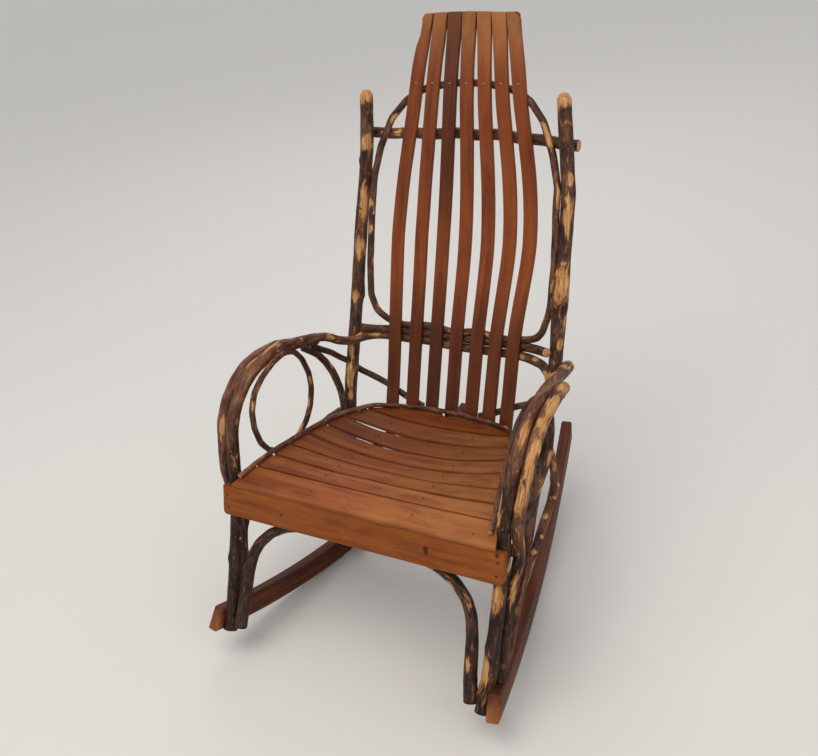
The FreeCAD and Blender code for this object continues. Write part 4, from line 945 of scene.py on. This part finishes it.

# Below the given height the bark of the arms, front legs and arch is darkened as painted shade
for side in ("left", "right"):
    add_stick("back_post_" + side, sides=24, knots=6, lumps=0.06, worn=0.1, flecks=0.22,
              ends=("sawn", "domed"), trim=(0, -5), peel=(0, 22))
    add_stick("outer_arm_bow_" + side, sides=22, lumps=0.06, worn=0.9, flecks=0.26,
              worn_above=0.3, dirt_and_painted_shade=0.3, ends=("sawn", "domed"),
              trim=(0, 6 if side == "left" else 0), peel=(0, 0 if side == "left" else 16))
    add_stick("arm_hoop_" + side, sides=16, knots=2, worn=0.15)
    add_stick("arm_brace_" + side, sides=18, worn=0.1, ends=("dark", "dark"), trim=(0, -14))
    add_stick("diagonal_brace_" + side, sides=16, worn=0.1, ends=("dark", "dark"),
              trim=(0, -14))
    add_stick("side_brace_" + side, sides=18, knots=8, worn=0.5, flecks=0.3)
    add_stick("side_rail_" + side, sides=18)
    add_stick("seat_batten_" + side, sides=18)
add_stick("front_leg_arm_bow_left", sides=24, lumps=0.06, worn=0.95, worn_above=0.38,
          dirt_and_painted_shade=0.6, ends=("dark", "dark"), trim=(11, 90), feet=(0.18, 0.0))
add_stick("front_leg_arm_bow_right", sides=24, lumps=0.06, worn=0.7, flecks=0.26,
          worn_above=0.38, dirt_and_painted_shade=0.55, ends=("dark", "domed"), trim=(11, 0),
          peel=(0, 16), feet=(0.22, 0.0))
add_stick("back_bow_arm_to_arm", knots=5, worn=0.45, flecks=0.26, ends=("dark", "dark"))
add_stick("back_bow_upper", worn=0.35, flecks=0.26, ends=("sawn", "dark"), trim=(0, 10))
add_stick("back_cross_rail", worn=0.3, flecks=0.26)
add_stick("back_hoop", sides=16, worn=0.35)
add_stick("front_arch", worn=0.1, worn_above=0.25, dirt_and_painted_shade=0.4, ends=("dark", "dark"),
          trim=(12, 12), feet=(0.3, 0.3))
for name in ("rear_rung", "seat_front_stretcher", "seat_rear_stretcher"):
    add_stick(name)
add_stick("seat_trim_bow", sides=14, knots=2, worn=0.75, flecks=0.3, trim=(0, 8))

# Slats, board and rockers; lengths in metres

# The line that the back slats' tops are sawn to: its height in the middle, how it bows and
# leans, and its round corners
TOP = {"middle": 1.098, "bow": 0.372, "lean": 0.0113, "corner": 0.013, "half": 0.1062}
TOP_WIDENED = 0.075
TOP_EDGE_NARROWED = 0.11
TOP_EDGE = 0.094
SLAT_ACROSS = 12
SLAT_RING = 4 * CORNER_POINTS + 2 * (SLAT_ACROSS - 1)
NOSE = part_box("rocker_left")[0][1] + 0.03
LEG_REACH = 0.009
CLEAT_RAISED = 0.0095
# Nails higher than this are in the cleat
CLEAT_ABOVE = 1.04
# How far each back slat bends to the right, in millimetres, from its top knot down
BEND_TOP = 1.0
BEND_STEP = 0.12
SLAT_BENDS = ((2, 13.5, 9, 4, 3, 4), (2, 12.5, 14, 11.5, 9, 7), (3, 12.5, 15, 12.5, 11, 9),
              (1, 9.5, 13.5, 15.5, 10, 10), (2.5, 7, 13, 16.5, 11, 10),
              (1.5, 5.5, 12, 15, 5.5, 5), (0.5, 1.5, 7, 7.5, -3, -1))


def rubbed_top(point):
    """The slats' tops are worn pale where hands take hold of the back."""
    return limit((point.z - 0.98) / 0.1) * 0.75


def rubbed_nose(point):
    """The rockers' front ends have lost their stain."""
    return limit((NOSE - point.y) / 0.02) * 0.8


def slat_bend(number, height):
    """How far a back slat bends to the right at a height: a smooth curve through its bends."""
    bends = SLAT_BENDS[number]
    place = min(max((BEND_TOP - height) / BEND_STEP, -1.0), len(bends) - 1.0)
    bend = 0.0
    for knot, amount in enumerate(bends + bends[-1:]):
        away = abs(place - knot)
        if away < 1:
            bend += amount * (2 / 3 - away ** 2 + away ** 3 / 2)
        elif away < 2:
            bend += amount * (2 - away) ** 3 / 6
    return Vector((bend / 1000, 0.0, 0.0))


def saw_tops(points):
    """Closes the slats' gaps at the top, and saws their ends to one line with round corners."""
    ring = points[-SLAT_RING:] if points[-1].z > points[0].z else points[:SLAT_RING]
    slope, level = np.polyfit([point.x for point in ring], [point.z for point in ring], 1)
    centre_x = sum(point.x for point in ring) / SLAT_RING
    sawn = []
    for point in points:
        near = limit((point.z - level + 0.07) / 0.06)
        end = limit((point.z - level + 0.035) / 0.032)
        spread = TOP_WIDENED if abs(point.x) < TOP_EDGE else -TOP_EDGE_NARROWED
        x = point.x + (point.x - centre_x) * spread * near
        line = TOP["middle"] - TOP["bow"] * x * x - TOP["lean"] * x
        over = max(abs(x) - (TOP["half"] - TOP["corner"]), 0.0)
        over = min(over, TOP["corner"])
        line -= TOP["corner"] - math.sqrt(TOP["corner"] ** 2 - over ** 2)
        sawn.append(Vector((x, point.y, point.z + end * (line - slope * point.x - level))))
    return sawn


def reach_leg(points):
    """The front slat runs on to the right leg."""
    return [point + Vector((LEG_REACH * limit((point.x - 0.2) / 0.05), 0.0, 0.0))
            for point in points]


def raise_cleat(points):
    """The cleat sits as high as the sawn tops."""
    return [point + Vector((0.0, 0.001, CLEAT_RAISED)) for point in points]


BACK_TONES = (0.04, 0.1, 0.5, 0.02, -0.08, -0.08, 0.03)
SEAT_TONES = (0.0, 0.06, 0.16, 0.2, 0.3, 0.44, 0.38)


def back_tone_and_painted_shade(number, height):
    """A slat's own stain, with the slat lightest in the small of the back and darker at the
    top, and painted shade near the seat.
    """
    return (BACK_TONES[number] * np.interp(height, (0.6, 0.8), (0.35, 1.0))
            + np.interp(height, (0.5, 0.6, 0.68, 0.78), (0.58, 0.05, 0.0, 0.19)))


def seat_tone_and_painted_shade(number, point):
    """A seat slat's tone: darker towards the back, and painted shade on the left."""
    return SEAT_TONES[number] + np.interp(point.x, (-0.22, -0.04), (0.2, 0.0))


def painted_light_on_seat(point):
    """Painted light that makes the seat paler right of its middle."""
    return np.interp(point.x, (-0.06, 0.14), (0.0, 0.3))


# Knots in the front board, (across, down) in the picture and their width
BOARD_KNOTS = ((425.5, 549, 0.015), (426, 553, 0.012), (497, 556, 0.012), (281, 515, 0.008))
board_marks = [(mark_on("seat_front_board", across, down), wide)
               for across, down, wide in BOARD_KNOTS]
SLAT = stained_oak("oak_slat_stained", ("#662B0E", "#7A3913", "#8C481D"), "#A87040")
SEAT = stained_oak("oak_seat_stained", ("#733514", "#88451D", "#9D5A29"), "#B88248")
BOARD = stained_oak("oak_board_stained", ("#6C330D", "#7E4011", "#90501B"), "#A9713F",
                    place=None, marks=board_marks)
REAR_SLAT = stained_oak("oak_rear_slat_stained", ("#541F0C", "#6A300F", "#7A3E1B"), "#A26B3A",
                        place=None, gloss_from=0.4)
CLEAT = stained_oak("oak_cleat_stained", ("#4A1A0A", "#5E2410", "#703418"), "#A26B3A",
                    gloss_from=0.4)
ROCKER = stained_oak("oak_rocker_dark_stained", ("#36170A", "#4C2310", "#683519"), "#A8673B",
                     gloss_from=0.42)
# The back slats' tone holds painted shade low down, near the seat
for number in range(7):
    add_plank("back_slat_%d" % (number + 1), SLAT,
              tone=lambda point: back_tone_and_painted_shade(number, point.z), rubbed=rubbed_top,
              across=SLAT_ACROSS,
              reshape=lambda points: [point + slat_bend(number, point.z)
                                      for point in saw_tops(points)])
# The seat's tone holds painted shade on its left, and its rubbed value painted light on its right
add_plank("seat_slat_1", SEAT, edge=0.6,
          tone=lambda point: seat_tone_and_painted_shade(0, point), rubbed=painted_light_on_seat, narrow=-0.0008,
          reshape=reach_leg)
for number in range(1, 7):
    add_plank("seat_slat_%d" % (number + 1), SEAT, edge=1.4,
              tone=lambda point: seat_tone_and_painted_shade(number, point), rubbed=painted_light_on_seat,
              narrow=0.0012 + 0.0004 * number, wobble=0.0022 + 0.0003 * number)
ease_edges("seat_slat_8", REAR_SLAT, 1.4)
ease_edges("seat_front_board", BOARD, 1.0)
add_plank("back_top_cleat", CLEAT, edge=1.0, reshape=raise_cleat)
for side in ("left", "right"):
    add_plank("rocker_" + side, ROCKER, edge=4.0, rubbed=rubbed_nose)

# The back's nails follow the slats and the cleat; the seat has three more than the solids
SEAT_NAILS_SEEN = ((247, 480), (349, 504), (473, 534))
slat_trees = [solid_tree("back_slat_%d" % (number + 1))[0] for number in range(7)]
back_heads = []
for centre, facing in heads_of("back_slat_nails"):
    number = min(range(7), key=lambda n: slat_trees[n].find_nearest(centre)[3])
    up = (Vector((0, 0, 1)) - facing * facing.z).normalized()
    centre = centre + up * (CLEAT_RAISED if centre.z > CLEAT_ABOVE else 0.0)
    back_heads.append((centre + slat_bend(number, centre.z), facing))
seat_heads = heads_of("seat_slat_nails")
seat_heads += [seen_on("seat_slat_1", across, down) for across, down in SEAT_NAILS_SEEN]
add_nails("nails_of_back", back_heads, "back_slat_nails", 0.0013,
          lambda place: 0.9 if 0.9 < place.z < CLEAT_ABOVE else 0.1)
add_nails("nails_of_seat", seat_heads, "seat_slat_nails", 0.0017)
add_nails("nails_of_board", heads_of("front_board_nails"), "front_board_nails", 0.0022)

# Floor and light: a plain pale floor and soft studio light

FLOOR_RADIUS = 60
FLOOR_SIDES = 48


def pale_floor():
    """A floor that reaches past the view on every side."""
    material = new_material("floor_pale_matt", None, {}, Roughness=0.7,
                            Base_Color=tint("#D6D5D2"))[0]
    mesh = bpy.data.meshes.new("floor")
    turns = [2 * math.pi * n / FLOOR_SIDES for n in range(FLOOR_SIDES)]
    rim = [(FLOOR_RADIUS * math.cos(turn), FLOOR_RADIUS * math.sin(turn), 0) for turn in turns]
    mesh.from_pydata(rim, [], [list(range(FLOOR_SIDES))])
    mesh.materials.append(material)
    new_object("floor", mesh)


def soft_light(name, place, aim, size, power, colour="#FFFFFF"):
    """A round soft light of so many metres and watts, aimed at a place."""
    lamp = bpy.data.lights.new(name, "AREA")
    lamp.shape = "DISK"
    lamp.size = size
    lamp.energy = power
    lamp.color = tint(colour)[:3]
    light = new_object(name, lamp)
    light.location = place
    light.rotation_euler = (Vector(aim) - Vector(place)).to_track_quat("-Z", "Y").to_euler()


pale_floor()
soft_light("key", (-0.3, -1.3, 3.2), (0, 0.1, 0.4), 2.4, 42, "#FFF6EA")
soft_light("fill", (2.4, -1.0, 1.8), (0, 0.1, 0.5), 2.2, 10, "#FFF8F0")
soft_light("rim", (-1.2, 2.4, 2.6), (0, 0.1, 0.6), 2.0, 14)
world = bpy.data.worlds.new("room")
bpy.context.scene.world = world
world.use_nodes = True
room_light = world.node_tree.nodes["Background"].inputs
room_light["Color"].default_value = tint("#ECEAEA")
room_light["Strength"].default_value = 0.85
bpy.context.scene.view_settings.view_transform = "Standard"
